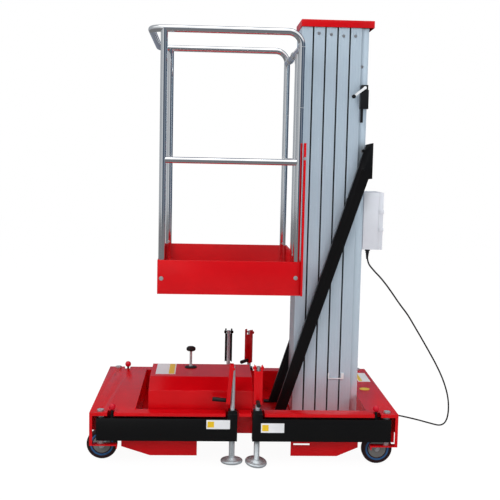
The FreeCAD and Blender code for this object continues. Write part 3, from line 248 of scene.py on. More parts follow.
def make_finishes():
    """Every finish of the lift, by the record's material slot."""
    tone = colours()
    FINISHES.update(
        red_paint=paint("Red paint", tone.red, 0.24, 0.10, 0.24),
        black_paint=paint("Black paint", tone.black, 0.34, 0.03, 0.22),
        mast_aluminium=drawn_metal("Mast aluminium", tone.mast, 0.46, 0.20, 0.30, (30, 30, 0.4)),
        bright_tube=polished("Bright tube", tone.chrome, 0.09),
        galvanised=zinc_dipped("Galvanised steel", (0.58, 0.62, 0.64)),
        zinc_steel=zinc_dipped("Zinc steel", (0.52, 0.54, 0.55)),
        tyre_rubber=moulded("Tyre rubber", (0.022, 0.0055, 0.006), 0.55),
        wheel_blue=moulded("Wheel blue", tone.ring, 0.40),
        black_rubber=moulded("Black rubber", (0.008, 0.008, 0.008), 0.50),
        black_plastic=moulded("Black plastic", (0.008, 0.008, 0.009), 0.38),
        knob_red=moulded("Knob red", (0.55, 0.004, 0.02), 0.18, 40.0),
        box_grey=paint("Box grey", (0.66, 0.69, 0.75), 0.42, 0.0),
        pack_dark=paint("Pack dark", (0.02, 0.02, 0.022), 0.5, 0.0),
        cord_black=moulded("Cord black", (0.006, 0.006, 0.006), 0.45),
        plate_white=paint("Blank plate white", (0.78, 0.80, 0.82), 0.35, 0.2),
        plate_yellow=paint("Blank plate yellow", (0.80, 0.52, 0.01), 0.35, 0.2),
        hub_grey=moulded("Hub grey", (0.16, 0.16, 0.155), 0.42),
        screw_dark=zinc_dipped("Screw heads", (0.34, 0.35, 0.37)),
        bracket_light=paint("Light bracket", (0.78, 0.80, 0.82), 0.30, 0.2),
    )


# Meshes
def body_of(node):
    """The body that a CAD node rides on."""
    for body, members in frame["record"]["behaviour"]["bodies"].items():
        if node in members:
            return body
    raise RuntimeError(f"no body holds {node}")


def finished(name, mesh, body, slot, finish=None):
    """A new piece at the origin with its finish, riding its body."""
    made = bpy.data.objects.new(name, mesh)
    bpy.context.scene.collection.objects.link(made)
    mesh.materials.clear()
    mesh.materials.append(FINISHES[finish or slot])
    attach(made, body)
    return made


def shade(mesh, angle=35):
    """Smooth faces with sharp edges past the angle."""
    for face in mesh.polygons:
        face.use_smooth = True
    mesh.set_sharp_from_angle(angle=math.radians(angle))


def applied(made):
    """The object's evaluated mesh, with its modifiers and their results in it."""
    graph = bpy.context.evaluated_depsgraph_get()
    mesh = bpy.data.meshes.new_from_object(made.evaluated_get(graph))
    old = made.data
    made.modifiers.clear()
    made.data = mesh
    if old.users == 0:
        bpy.data.meshes.remove(old)
    return mesh


def dressed(node, slot, edge=0.0, finish=None, angle=35):
    """A merged copy of a CAD node with rounded edges, which takes the node's place."""
    source = frame["nodes"][node]
    work = bmesh.new()
    work.from_mesh(source.data)
    work.transform(source.matrix_world)
    bmesh.ops.remove_doubles(work, verts=work.verts, dist=2e-6)
    flat = math.radians(0.5)
    bmesh.ops.dissolve_limit(work, angle_limit=flat, verts=work.verts, edges=work.edges)
    mesh = bpy.data.meshes.new(f"{node}_dressed")
    work.to_mesh(mesh)
    work.free()
    made = bpy.data.objects.new(f"{node}_dressed", mesh)
    bpy.context.scene.collection.objects.link(made)
    if edge:
        bevel = made.modifiers.new("Rounded edges", "BEVEL")
        bevel.width = edge
        bevel.segments = 2
        bevel.limit_method = "ANGLE"
        bevel.angle_limit = math.radians(40)
        bevel.use_clamp_overlap = True
        mesh = applied(made)
    shade(mesh, angle)
    mesh.materials.clear()
    mesh.materials.append(FINISHES[finish or slot])
    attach(made, body_of(node))
    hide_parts(node)
    return made


def lathe(profile, centre, axis="Y", segments=48):
    """A closed turned solid: (along, radius) points round an axis through the centre."""
    work = bmesh.new()
    rings = []
    for along, radius in profile:
        ring = []
        for i in range(segments):
            a = 2 * math.pi * i / segments
            across, up = radius * math.cos(a), radius * math.sin(a)
            spot = {"Y": (across, along, up), "Z": (across, up, along), "X": (along, across, up)}[axis]
            ring.append(work.verts.new(Vector(spot) + centre))
        rings.append(ring)
    for one, two in zip(rings, rings[1:]):
        for i in range(segments):
            j = (i + 1) % segments
            work.faces.new((one[i], one[j], two[j], two[i]))
    work.faces.new(rings[0])
    work.faces.new(list(reversed(rings[-1])))
    bmesh.ops.recalc_face_normals(work, faces=work.faces)
    mesh = bpy.data.meshes.new("turned")
    work.to_mesh(mesh)
    work.free()
    shade(mesh)
    return mesh


def slab(low, high, edge=0.0):
    """A box between two corners, its edges rounded when asked."""
    work = bmesh.new()
    bmesh.ops.create_cube(work, size=1)
    middle, span = (low + high) / 2, high - low
    for vert in work.verts:
        vert.co = middle + Vector(a * b for a, b in zip(vert.co, span))
    if edge:
        bmesh.ops.bevel(work, geom=work.edges, offset=edge, segments=2, affect="EDGES", profile=0.5)
    mesh = bpy.data.meshes.new("slab")
    work.to_mesh(mesh)
    work.free()
    shade(mesh)
    return mesh


# Geometry node trees
def new_tree(name, inputs):
    """A tree with a geometry input, named number inputs and a material input."""
    tree = bpy.data.node_groups.new(name, "GeometryNodeTree")
    face = tree.interface
    face.new_socket("Geometry", in_out="INPUT", socket_type="NodeSocketGeometry")
    for label, kind, default in inputs:
        socket = face.new_socket(label, in_out="INPUT", socket_type=kind)
        if default is not None:
            socket.default_value = default
    face.new_socket("Geometry", in_out="OUTPUT", socket_type="NodeSocketGeometry")
    return tree, tree.nodes.new("NodeGroupInput"), tree.nodes.new("NodeGroupOutput")


def close_tree(tree, start, last, end):
    """Realizes the instances and sets the finish."""
    real = tree.nodes.new("GeometryNodeRealizeInstances")
    finish = tree.nodes.new("GeometryNodeSetMaterial")
    tree.links.new(last, real.inputs["Geometry"])
    tree.links.new(real.outputs["Geometry"], finish.inputs["Geometry"])
    tree.links.new(start.outputs["Finish"], finish.inputs["Material"])
    tree.links.new(finish.outputs["Geometry"], end.inputs["Geometry"])


def bolt_tree():
    """A hexagon head on a washer at every point, facing along the point's own direction."""
    tree, start, end = new_tree(
        "Bolt heads",
        (
            ("Head Width", "NodeSocketFloat", 0.013),
            ("Head Height", "NodeSocketFloat", 0.005),
            ("Sides", "NodeSocketInt", 6),
            ("Finish", "NodeSocketMaterial", None),
        ),
    )
    parts = []
    for sides, wide, tall in ((None, 0.5, 1.0), (24, 0.72, 0.3)):
        disc = tree.nodes.new("GeometryNodeMeshCylinder")
        radius = tree.nodes.new("ShaderNodeMath")
        radius.operation = "MULTIPLY"
        radius.inputs[1].default_value = wide
        tree.links.new(start.outputs["Head Width"], radius.inputs[0])
        depth = tree.nodes.new("ShaderNodeMath")
        depth.operation = "MULTIPLY"
        depth.inputs[1].default_value = 2 * tall
        tree.links.new(start.outputs["Head Height"], depth.inputs[0])
        if sides is None:
            tree.links.new(start.outputs["Sides"], disc.inputs["Vertices"])
        else:
            disc.inputs["Vertices"].default_value = sides
        tree.links.new(radius.outputs[0], disc.inputs["Radius"])
        tree.links.new(depth.outputs[0], disc.inputs["Depth"])
        parts.append(disc.outputs["Mesh"])
    both = tree.nodes.new("GeometryNodeJoinGeometry")
    for part in parts:
        tree.links.new(part, both.inputs["Geometry"])
    facing = tree.nodes.new("GeometryNodeInputNamedAttribute")
    facing.data_type = "FLOAT_VECTOR"
    facing.inputs["Name"].default_value = "facing"
    turn = tree.nodes.new("FunctionNodeAlignRotationToVector")
    turn.axis = "Z"
    tree.links.new(facing.outputs["Attribute"], turn.inputs["Vector"])
    place = tree.nodes.new("GeometryNodeInstanceOnPoints")
    tree.links.new(start.outputs["Geometry"], place.inputs["Points"])
    tree.links.new(both.outputs["Geometry"], place.inputs["Instance"])
    tree.links.new(turn.outputs["Rotation"], place.inputs["Rotation"])
    close_tree(tree, start, place.outputs["Instances"], end)
    return tree


def thread_tree():
    """A screw thread: a wire wound up the Z axis at the given radius."""
    tree, start, end = new_tree(
        "Screw thread",
        (
            ("Turns", "NodeSocketFloat", 20.0),
            ("Radius", "NodeSocketFloat", 0.009),
            ("Length", "NodeSocketFloat", 0.1),
            ("Wire", "NodeSocketFloat", 0.0012),
            ("Place", "NodeSocketVector", None),
            ("Finish", "NodeSocketMaterial", None),
        ),
    )
    coil = tree.nodes.new("GeometryNodeCurveSpiral")
    coil.inputs["Resolution"].default_value = 20
    tree.links.new(start.outputs["Turns"], coil.inputs["Rotations"])
    tree.links.new(start.outputs["Radius"], coil.inputs["Start Radius"])
    tree.links.new(start.outputs["Radius"], coil.inputs["End Radius"])
    tree.links.new(start.outputs["Length"], coil.inputs["Height"])
    wire = tree.nodes.new("GeometryNodeCurvePrimitiveCircle")
    wire.inputs["Resolution"].default_value = 5
    tree.links.new(start.outputs["Wire"], wire.inputs["Radius"])
    skin = tree.nodes.new("GeometryNodeCurveToMesh")
    skin.inputs["Fill Caps"].default_value = True
    tree.links.new(coil.outputs["Curve"], skin.inputs["Curve"])
    tree.links.new(wire.outputs["Curve"], skin.inputs["Profile Curve"])
    move = tree.nodes.new("GeometryNodeTransform")
    tree.links.new(skin.outputs["Mesh"], move.inputs["Geometry"])
    tree.links.new(start.outputs["Place"], move.inputs["Translation"])
    close_tree(tree, start, move.outputs["Geometry"], end)
    return tree


def ring_tree():
    """A rounded ring at every point, facing along the point's own direction: welds and clamp joints."""
    tree, start, end = new_tree(
        "Joint rings",
        (
            ("Radius", "NodeSocketFloat", 0.015),
            ("Bead", "NodeSocketFloat", 0.0015),
            ("Finish", "NodeSocketMaterial", None),
        ),
    )
    line = tree.nodes.new("GeometryNodeCurvePrimitiveCircle")
    line.inputs["Resolution"].default_value = 32
    tree.links.new(start.outputs["Radius"], line.inputs["Radius"])
    bead = tree.nodes.new("GeometryNodeCurvePrimitiveCircle")
    bead.inputs["Resolution"].default_value = 8
    tree.links.new(start.outputs["Bead"], bead.inputs["Radius"])
    skin = tree.nodes.new("GeometryNodeCurveToMesh")
    tree.links.new(line.outputs["Curve"], skin.inputs["Curve"])
    tree.links.new(bead.outputs["Curve"], skin.inputs["Profile Curve"])
    facing = tree.nodes.new("GeometryNodeInputNamedAttribute")
    facing.data_type = "FLOAT_VECTOR"
    facing.inputs["Name"].default_value = "facing"
    turn = tree.nodes.new("FunctionNodeAlignRotationToVector")
    turn.axis = "Z"
    tree.links.new(facing.outputs["Attribute"], turn.inputs["Vector"])
    place = tree.nodes.new("GeometryNodeInstanceOnPoints")
    tree.links.new(start.outputs["Geometry"], place.inputs["Points"])
    tree.links.new(skin.outputs["Mesh"], place.inputs["Instance"])
    tree.links.new(turn.outputs["Rotation"], place.inputs["Rotation"])
    close_tree(tree, start, place.outputs["Instances"], end)
    return tree


def tube_tree():
    """Round tube along every line of edges, its corners bent to the given radius."""
    tree, start, end = new_tree(
        "Bent tube",
        (
            ("Radius", "NodeSocketFloat", 0.015),
            ("Bend", "NodeSocketFloat", 0.05),
            ("Finish", "NodeSocketMaterial", None),
        ),
    )
    line = tree.nodes.new("GeometryNodeMeshToCurve")
    tree.links.new(start.outputs["Geometry"], line.inputs["Mesh"])
    bend = tree.nodes.new("GeometryNodeFilletCurve")
    bend.mode = "POLY"
    bend.inputs["Count"].default_value = 14
    tree.links.new(line.outputs["Curve"], bend.inputs["Curve"])
    tree.links.new(start.outputs["Bend"], bend.inputs["Radius"])
    bore = tree.nodes.new("GeometryNodeCurvePrimitiveCircle")
    bore.inputs["Resolution"].default_value = 32
    tree.links.new(start.outputs["Radius"], bore.inputs["Radius"])
    skin = tree.nodes.new("GeometryNodeCurveToMesh")
    skin.inputs["Fill Caps"].default_value = True
    tree.links.new(bend.outputs["Curve"], skin.inputs["Curve"])
    tree.links.new(bore.outputs["Curve"], skin.inputs["Profile Curve"])
    close_tree(tree, start, skin.outputs["Mesh"], end)
    return tree


def grown(name, tree, values, spots=(), edges=()):
    """The tree's mesh from (point, facing) spots and the edges between them, inputs by identifier."""
    seed = bpy.data.meshes.new(name)
    seed.from_pydata([spot for spot, _ in spots] or [(0, 0, 0)], list(edges), [])
    facing = seed.attributes.new("facing", "FLOAT_VECTOR", "POINT")
    for i, (_, way) in enumerate(spots):
        facing.data[i].vector = way
    made = bpy.data.objects.new(name, seed)
    bpy.context.scene.collection.objects.link(made)
    growth = made.modifiers.new("Growth", "NODES")
    growth.node_group = tree
    for item in tree.interface.items_tree:
        if item.item_type == "SOCKET" and item.in_out == "INPUT" and item.name in values:
            growth[item.identifier] = values[item.name]
    mesh = applied(made)
    bpy.data.objects.remove(made)
    shade(mesh)
    return mesh


TREES = {}


def tree_for(kind):
    """The shared tree of that kind."""
    if kind not in TREES:
        makers = {"bolt": bolt_tree, "thread": thread_tree, "ring": ring_tree, "tube": tube_tree}
        TREES[kind] = makers[kind]()
    return TREES[kind]


# Pieces
class LIFT_OT_finishes(bpy.types.Operator):
    """Make the lift's finishes"""

    bl_idname = "lift.finishes"
    bl_label = "Finishes"

    def execute(self, context):
        make_finishes()
        return {"FINISHED"}


class LIFT_OT_stage(bpy.types.Operator):
    """Set the camera, the lamps, the pale floor and the white background"""

    bl_idname = "lift.stage"
    bl_label = "Stage"

    camera_spot = (-172, -4180, 1345.6)
    yaw = 0.0506
    pitch = 0.1036
    roll = 0.0218
    lens = 64.16
    # What bright metal sees round it, from behind by the left, the viewer (0.5) and the right to behind.
    walls = (
        (0.0, (0.16, 0.18, 0.24)), (0.10, (0.38, 0.40, 0.43)),
        (0.30, (0.44, 0.46, 0.49)), (0.40, (0.50, 0.52, 0.55)),
        (0.455, (0.85, 0.86, 0.88)), (0.472, (0.20, 0.23, 0.28)), (0.50, (0.10, 0.12, 0.15)),
        (0.57, (0.05, 0.08, 0.13)), (0.66, (0.30, 0.33, 0.38)), (0.70, (0.05, 0.08, 0.13)),
        (0.88, (0.05, 0.08, 0.13)), (1.0, (0.16, 0.18, 0.24)),
    )
    daylight = 0.50
    mirrored_floor = (0.20, 0.20, 0.21)

    def make_camera(self):
        """The camera stands where the photograph was taken from."""
        ahead = Vector((
            math.sin(self.yaw) * math.cos(self.pitch),
            math.cos(self.yaw) * math.cos(self.pitch),
            -math.sin(self.pitch),
        ))
        level = Vector((math.cos(self.yaw), -math.sin(self.yaw), 0))
        upward = level.cross(ahead)
        right = math.cos(self.roll) * level + math.sin(self.roll) * upward
        top = -math.sin(self.roll) * level + math.cos(self.roll) * upward
        data = bpy.data.cameras.new("Camera")
        data.lens = self.lens
        data.sensor_width = 36
        camera = bpy.data.objects.new("Camera", data)
        bpy.context.scene.collection.objects.link(camera)
        turn = Matrix((right, top, -ahead)).transposed().to_4x4()
        spot = Vector(self.camera_spot) / 1000
        camera.matrix_world = Matrix.Translation(spot) @ turn
        bpy.context.scene.camera = camera

    def make_lamp(self, name, spot, aim, size, watts):
        """A soft square lamp."""
        data = bpy.data.lights.new(name, "AREA")
        data.size = size
        data.energy = watts
        lamp = bpy.data.objects.new(name, data)
        bpy.context.scene.collection.objects.link(lamp)
        way = Vector(aim) - Vector(spot)
        turn = way.to_track_quat("-Z", "Y").to_matrix().to_4x4()
        lamp.matrix_world = Matrix.Translation(Vector(spot)) @ turn
        lamp.visible_glossy = False

    def make_world(self):
        """White for the camera; a room with a bright ceiling and bright strips for the metal."""
        world = bpy.data.worlds.new("Studio")
        bpy.context.scene.world = world
        world.use_nodes = True
        tree = world.node_tree
        tree.nodes.clear()
        where = tree.nodes.new("ShaderNodeTexCoord")
        split = tree.nodes.new("ShaderNodeSeparateXYZ")
        tree.links.new(where.outputs["Generated"], split.inputs["Vector"])
        ahead = tree.nodes.new("ShaderNodeMath")
        ahead.operation = "MULTIPLY"
        ahead.inputs[1].default_value = -1
        tree.links.new(split.outputs["Y"], ahead.inputs[0])
        bearing = tree.nodes.new("ShaderNodeMath")
        bearing.operation = "ARCTAN2"
        tree.links.new(split.outputs["X"], bearing.inputs[0])
        tree.links.new(ahead.outputs[0], bearing.inputs[1])
        around = tree.nodes.new("ShaderNodeMapRange")
        around.inputs["From Min"].default_value = -math.pi
        around.inputs["From Max"].default_value = math.pi
        tree.links.new(bearing.outputs[0], around.inputs["Value"])
        ramp = tree.nodes.new("ShaderNodeValToRGB")
        ramp.color_ramp.elements[0].position = self.walls[0][0]
        ramp.color_ramp.elements[1].position = self.walls[-1][0]
        for place, _ in self.walls[1:-1]:
            ramp.color_ramp.elements.new(place)
        for element, (_, value) in zip(ramp.color_ramp.elements, self.walls):
            element.color = (*value, 1)
        tree.links.new(around.outputs["Result"], ramp.inputs["Fac"])
        rise = tree.nodes.new("ShaderNodeMapRange")
        rise.interpolation_type = "SMOOTHSTEP"
        rise.inputs["From Min"].default_value = 0.26
        rise.inputs["From Max"].default_value = 0.46
        tree.links.new(split.outputs["Z"], rise.inputs["Value"])
        # The ceiling ends over the object, so the upper edge of each tube stays dark.
        behind = tree.nodes.new("ShaderNodeMapRange")
        behind.interpolation_type = "SMOOTHSTEP"
        behind.inputs["From Min"].default_value = -0.05
        behind.inputs["From Max"].default_value = 0.30
        behind.inputs["To Min"].default_value = 1.0
        behind.inputs["To Max"].default_value = 0.1
        tree.links.new(split.outputs["Y"], behind.inputs["Value"])
        before = tree.nodes.new("ShaderNodeMath")
        before.operation = "MULTIPLY"
        tree.links.new(rise.outputs["Result"], before.inputs[0])
        tree.links.new(behind.outputs["Result"], before.inputs[1])
        ceiling = tree.nodes.new("ShaderNodeMixRGB")
        ceiling.inputs["Color2"].default_value = (0.95, 0.96, 0.98, 1)
        tree.links.new(before.outputs[0], ceiling.inputs["Fac"])
        tree.links.new(ramp.outputs["Color"], ceiling.inputs["Color1"])
        rays = tree.nodes.new("ShaderNodeLightPath")
        studio = tree.nodes.new("ShaderNodeBackground")
        zenith = tree.nodes.new("ShaderNodeMapRange")
        zenith.interpolation_type = "SMOOTHSTEP"
        zenith.inputs["From Min"].default_value = 0.86
        zenith.inputs["From Max"].default_value = 0.95
        zenith.inputs["To Min"].default_value = 0.0
        zenith.inputs["To Max"].default_value = 2.6
        tree.links.new(split.outputs["Z"], zenith.inputs["Value"])
        glare = tree.nodes.new("ShaderNodeMath")
        glare.operation = "MULTIPLY_ADD"
        glare.inputs[2].default_value = 1.0
        tree.links.new(zenith.outputs["Result"], glare.inputs[0])
        tree.links.new(behind.outputs["Result"], glare.inputs[1])
        tree.links.new(ceiling.outputs["Color"], studio.inputs["Color"])
        tree.links.new(glare.outputs[0], studio.inputs["Strength"])
        level = tree.nodes.new("ShaderNodeBackground")
        level.inputs["Color"].default_value = (1, 1, 1, 1)
        level.inputs["Strength"].default_value = self.daylight
        white = tree.nodes.new("ShaderNodeBackground")
        white.inputs["Color"].default_value = (1, 1, 1, 1)
        metal = tree.nodes.new("ShaderNodeMixShader")
        tree.links.new(rays.outputs["Is Glossy Ray"], metal.inputs["Fac"])
        tree.links.new(level.outputs["Background"], metal.inputs[1])
        tree.links.new(studio.outputs["Background"], metal.inputs[2])
        seen = tree.nodes.new("ShaderNodeMixShader")
        tree.links.new(rays.outputs["Is Camera Ray"], seen.inputs["Fac"])
        tree.links.new(metal.outputs["Shader"], seen.inputs[1])
        tree.links.new(white.outputs["Background"], seen.inputs[2])
        out = tree.nodes.new("ShaderNodeOutputWorld")
        tree.links.new(seen.outputs["Shader"], out.inputs["Surface"])

    def make_floor(self):
        """A pale floor that keeps a faint shadow."""
        work = bmesh.new()
        bmesh.ops.create_grid(work, x_segments=1, y_segments=1, size=14)
        mesh = bpy.data.meshes.new("Floor")
        work.to_mesh(mesh)
        work.free()
        floor = bpy.data.objects.new("Floor", mesh)
        floor.location.z = -0.001
        bpy.context.scene.collection.objects.link(floor)
        made, tree, bsdf = shader("Floor white")
        bsdf.inputs["Base Color"].default_value = (0.86, 0.86, 0.86, 1)
        bsdf.inputs["Roughness"].default_value = 0.9
        rays = tree.nodes.new("ShaderNodeLightPath")
        share = tree.nodes.new("ShaderNodeMath")
        share.operation = "MULTIPLY"
        share.inputs[1].default_value = 0.90
        tree.links.new(rays.outputs["Is Camera Ray"], share.inputs[0])
        glow = tree.nodes.new("ShaderNodeEmission")
        glow.inputs["Strength"].default_value = 1.06
        mix = tree.nodes.new("ShaderNodeMixShader")
        tree.links.new(share.outputs[0], mix.inputs["Fac"])
        tree.links.new(bsdf.outputs["BSDF"], mix.inputs[1])
        tree.links.new(glow.outputs["Emission"], mix.inputs[2])
        dim = tree.nodes.new("ShaderNodeEmission")
        dim.inputs["Color"].default_value = (*self.mirrored_floor, 1)
        kept = tree.nodes.new("ShaderNodeMixShader")
        tree.links.new(rays.outputs["Is Glossy Ray"], kept.inputs["Fac"])
        tree.links.new(mix.outputs["Shader"], kept.inputs[1])
        tree.links.new(dim.outputs["Emission"], kept.inputs[2])
        tree.links.new(kept.outputs["Shader"], tree.nodes["Material Output"].inputs["Surface"])
        mesh.materials.append(made)

    def execute(self, context):
        context.scene.view_settings.view_transform = "Standard"
        self.make_camera()
        self.make_world()
        self.make_lamp("Key lamp", (-2.6, -3.6, 3.4), (0, 0, 0.9), 2.4, 95)
        self.make_lamp("Fill lamp", (3.2, -3.0, 2.0), (0, 0, 0.9), 2.4, 45)
        self.make_lamp("Ceiling lamp", (0.2, 0.2, 4.4), (0, 0, 0.5), 3.0, 60)
        self.make_lamp("Rear lamp", (0.6, 4.0, 2.6), (0, 0, 0.9), 2.4, 40)
        self.make_floor()
        return {"FINISHED"}


class LIFT_OT_cord(bpy.types.Operator):
    """Lay the supply cord from its gland to the coil and the plug behind the base"""

    bl_idname = "lift.cord"
    bl_label = "Supply cord"

    route = (
        (574, -60, 912), (574, -60, 870), (603, -58, 834), (648, -55, 790), (692, -52, 735), (737, -50, 672),
        (780, -48, 620), (814, -44, 566), (850, -38, 510), (893, -28, 442), (940, -12, 366), (984, 10, 284),
        (1018, 40, 196), (1034, 78, 112), (1036, 122, 48), (1022, 172, 12), (990, 236, 4.5), (936, 300, 4.5),
        (870, 362, 4.5), (790, 420, 4.5), (704, 470, 4.5),
        (612, 505, 4.5), (526, 532, 4.5), (462, 545.6, 4.5),
    )
    coil_middle = (420, 600)
    points_a_turn = 16
    # Each turn's radius and height: two turns below, two above them, and one on top.
    turns = ((46.4, 4.5), (37.6, 4.5), (37.6, 12.4), (46.4, 12.4), (46.4, 20.3))

    def coil(self):
        """Clockwise turns that start and end below the coil's middle, eased from each to the next."""
        spots = []
        count = self.points_a_turn
        for index, (radius, height) in enumerate(self.turns):
            wide, tall = self.turns[min(index + 1, len(self.turns) - 1)]
            for step in range(count):
                ease = max(0.0, (step / count - 0.6) / 0.4)
                r = radius + (wide - radius) * ease
                z = height + (tall - height) * ease
                a = -math.pi / 2 - 2 * math.pi * step / count
                x = self.coil_middle[0] + r * math.cos(a)
                y = self.coil_middle[1] + r * math.sin(a)
                spots.append((x, y, z))
        return spots

    def execute(self, context):
        radius, height = self.turns[-1]
        x, y = self.coil_middle
        leave = [(x, y - radius, height), (x - 18, y - radius, height - 1), (x - 34, y - radius, 18.5)]
        points = [at(*spot) for spot in (*self.route, *self.coil(), *leave)]
        curve = bpy.data.curves.new("supply_cord_line", "CURVE")
        curve.dimensions = "3D"
        curve.resolution_u = 6
        line = curve.splines.new("NURBS")
        line.points.add(len(points) - 1)
        for knot, spot in zip(line.points, points):
            knot.co = (*spot, 1)
        line.order_u = 3
        line.use_endpoint_u = True
        cord = bpy.data.objects.new("supply_cord_line", curve)
        context.scene.collection.objects.link(cord)
        graph = context.evaluated_depsgraph_get()
        bare = bpy.data.meshes.new_from_object(cord.evaluated_get(graph))
        curve.bevel_depth = sizes().cord / 2
        curve.bevel_resolution = 3
        curve.use_fill_caps = True
        curve.materials.append(FINISHES["cord_black"])
        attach(cord, "chassis")
        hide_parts("supply_cord", "cord_coil")
        plug = dressed("cord_plug", "black_plastic", 0.0008)
        relief_profile = ((0.0, 0.0072), (-0.004, 0.0070), (-0.028, 0.0046), (-0.0285, 0.0039))
        sleeve = lathe(relief_profile, points[0], "Z", 24)
        finished("strain_relief", sleeve, "chassis", "black_plastic")
        return {"FINISHED"}


class LIFT_OT_painted(bpy.types.Operator):
    """Round the folded edges of the painted steel and paint it"""

    bl_idname = "lift.painted"
    bl_label = "Painted steel"

    red = ("base_frame", "floor_pan", "mast_cap", "platform_tray", "platform_back_frame")

    box_edge = 0.001
    # The upright cheek that closes each arm's pocket at the base's corner, in millimetres.
    cheek = (657, 669.5)
    cheek_y = (421, 424.5)
    cheek_z = (96, 241)
    # The plate behind the arm's outer end; over the casters it stays above their wheels.
    closing = (640, 666)
    closing_y = (365, 368)
    closing_low = {-1: 150, 1: 100}

    def make_cheeks(self):
        """An upright plate and a closing plate at each corner."""
        for corner in CORNERS:
            x0, x1 = sorted(end_of(corner) * x for x in self.cheek)
            y0, y1 = sorted(side_of(corner) * y for y in self.cheek_y)
            plate = slab(at(x0, y0, self.cheek_z[0]), at(x1, y1, self.cheek_z[1]), 0.001)
            finished(f"corner_cheek_{corner}", plate, "chassis", "red_paint")
            x0, x1 = sorted(end_of(corner) * x for x in self.closing)
            y0, y1 = sorted(side_of(corner) * y for y in self.closing_y)
            low = self.closing_low[end_of(corner)]
            plate = slab(at(x0, y0, low), at(x1, y1, self.cheek_z[1]))
            finished(f"corner_closing_{corner}", plate, "chassis", "red_paint")

    def execute(self, context):
        self.make_cheeks()
        edge = sizes().edge
        for node in self.red:
            dressed(node, "red_paint", edge)
        dressed("power_unit_cover", "red_paint", edge, angle=15)
        dressed("mast_braces", "black_paint", edge)
        dressed("power_pack", "pack_dark", edge)
        for corner in CORNERS:
            dressed(f"arm_{corner}", "black_paint", edge)
        dressed("control_box", "box_grey", self.box_edge)
        dressed("control_box_lid", "box_grey", self.box_edge)
        return {"FINISHED"}


class LIFT_OT_mast(bpy.types.Operator):
    """Give the mast sections their drawn aluminium"""

    bl_idname = "lift.mast"
    bl_label = "Mast"

    # The gap between two sections, seen from the side, in millimetres.
    first_seam = 283.1
    seam_wide = 6.3
    pitch = 55.5
    seam_y = 104
    seam_thick = 1.5
    seam_low = 152
    seam_high = 1933

    def make_gap_shade(self):
        """Dark strips deep in the gaps, painted shade where the gaps between sections fall dark; each rides
        the section on the gap's right.
        """
        for index, body in enumerate(("mast_stage_2", "mast_stage_3", "mast_stage_4", "chassis")):
            x = self.first_seam + index * self.pitch
            for side, s in (("near", -1), ("far", 1)):
                y0, y1 = sorted((s * self.seam_y, s * (self.seam_y - self.seam_thick)))
                # Painted shade: a black strip stands deep in each gap where the shade falls.
                strip = slab(at(x, y0, self.seam_low), at(x + self.seam_wide, y1, self.seam_high))
                finished(f"gap_shade_strip_{index}_{side}", strip, body, "black_rubber")

    def execute(self, context):
        self.make_gap_shade()
        for number in range(1, 6):
            dressed(f"mast_section_{number}", "mast_aluminium")
        dressed("section_lock_bracket", "zinc_steel", 0.0006, "bracket_light")
        return {"FINISHED"}


class LIFT_OT_rails(bpy.types.Operator):
    """Polish the guard rail and set its joints"""

    bl_idname = "lift.rails"
    bl_label = "Guard rail"

    # Where the near post's sleeves meet, from the floor in millimetres.
    sleeve_heights = (1815, 1560)
    post_x = 210.7
    post_y = 350
    # Node, tube diameter, radius of its bends, and the points each tube runs through.
    tubes = (
        ("top_rail", 30, 58, (((210.7, -350, 755), (210.7, -350, 1877), (-427, -350, 1877), (-427, 350, 1877),
                               (210.7, 350, 1877), (210.7, 350, 755)),)),
        ("top_rail", 28, 0, (((210.7, -350, 1815), (210.7, 350, 1815)),)),
        ("left_posts", 30, 0, (
            ((-371, -350, 755), (-371, -350, 1874)),
            ((-371, 350, 755), (-371, 350, 1874)),
        )),
        ("middle_post", 25, 0, (((210.7, -190, 755), (210.7, -190, 1815)),)),
        ("mid_rails", 26, 0, (
            ((-371, -350, 1327), (210.7, -350, 1327)),
            ((-371, 350, 1327), (210.7, 350, 1327)),
            ((-371, -350, 1327), (-371, 350, 1327)),
        )),
        ("mid_rails", 8, 0, (((210.7, -190, 1341), (210.7, 350, 1341)),)),
    )

    def make_tubes(self):
        """Each node's tubes; the first set of a node takes its place."""
        taken = set()
        for index, (node, wide, bend, lines) in enumerate(self.tubes):
            spots, edges = [], []
            for line in lines:
                first = len(spots)
                spots += [(at(*spot), (0, 0, 1)) for spot in line]
                edges += [(first + i, first + i + 1) for i in range(len(line) - 1)]
            values = {"Radius": wide / 2000, "Bend": bend / 1000, "Finish": FINISHES["bright_tube"]}
            name = f"{node}_tube_{index}"
            tubes = grown(name, tree_for("tube"), values, spots, edges)
            made = finished(name, tubes, "platform", "bright_tube")
            if node not in taken:
                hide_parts(node)
                taken.add(node)

    def execute(self, context):
        self.make_tubes()
        dressed("rail_fittings", "zinc_steel", 0.0006)
        spots = [
            (at(self.post_x, s * self.post_y, z), (0, 0, 1))
            for s in (-1, 1)
            for z in self.sleeve_heights
        ]
        values = {"Radius": 0.0150, "Bead": 0.0009, "Finish": FINISHES["zinc_steel"]}
        rings = grown("post_joint_rings", tree_for("ring"), values, spots)
        finished("post_joint_rings", rings, "platform", "zinc_steel")
        return {"FINISHED"}


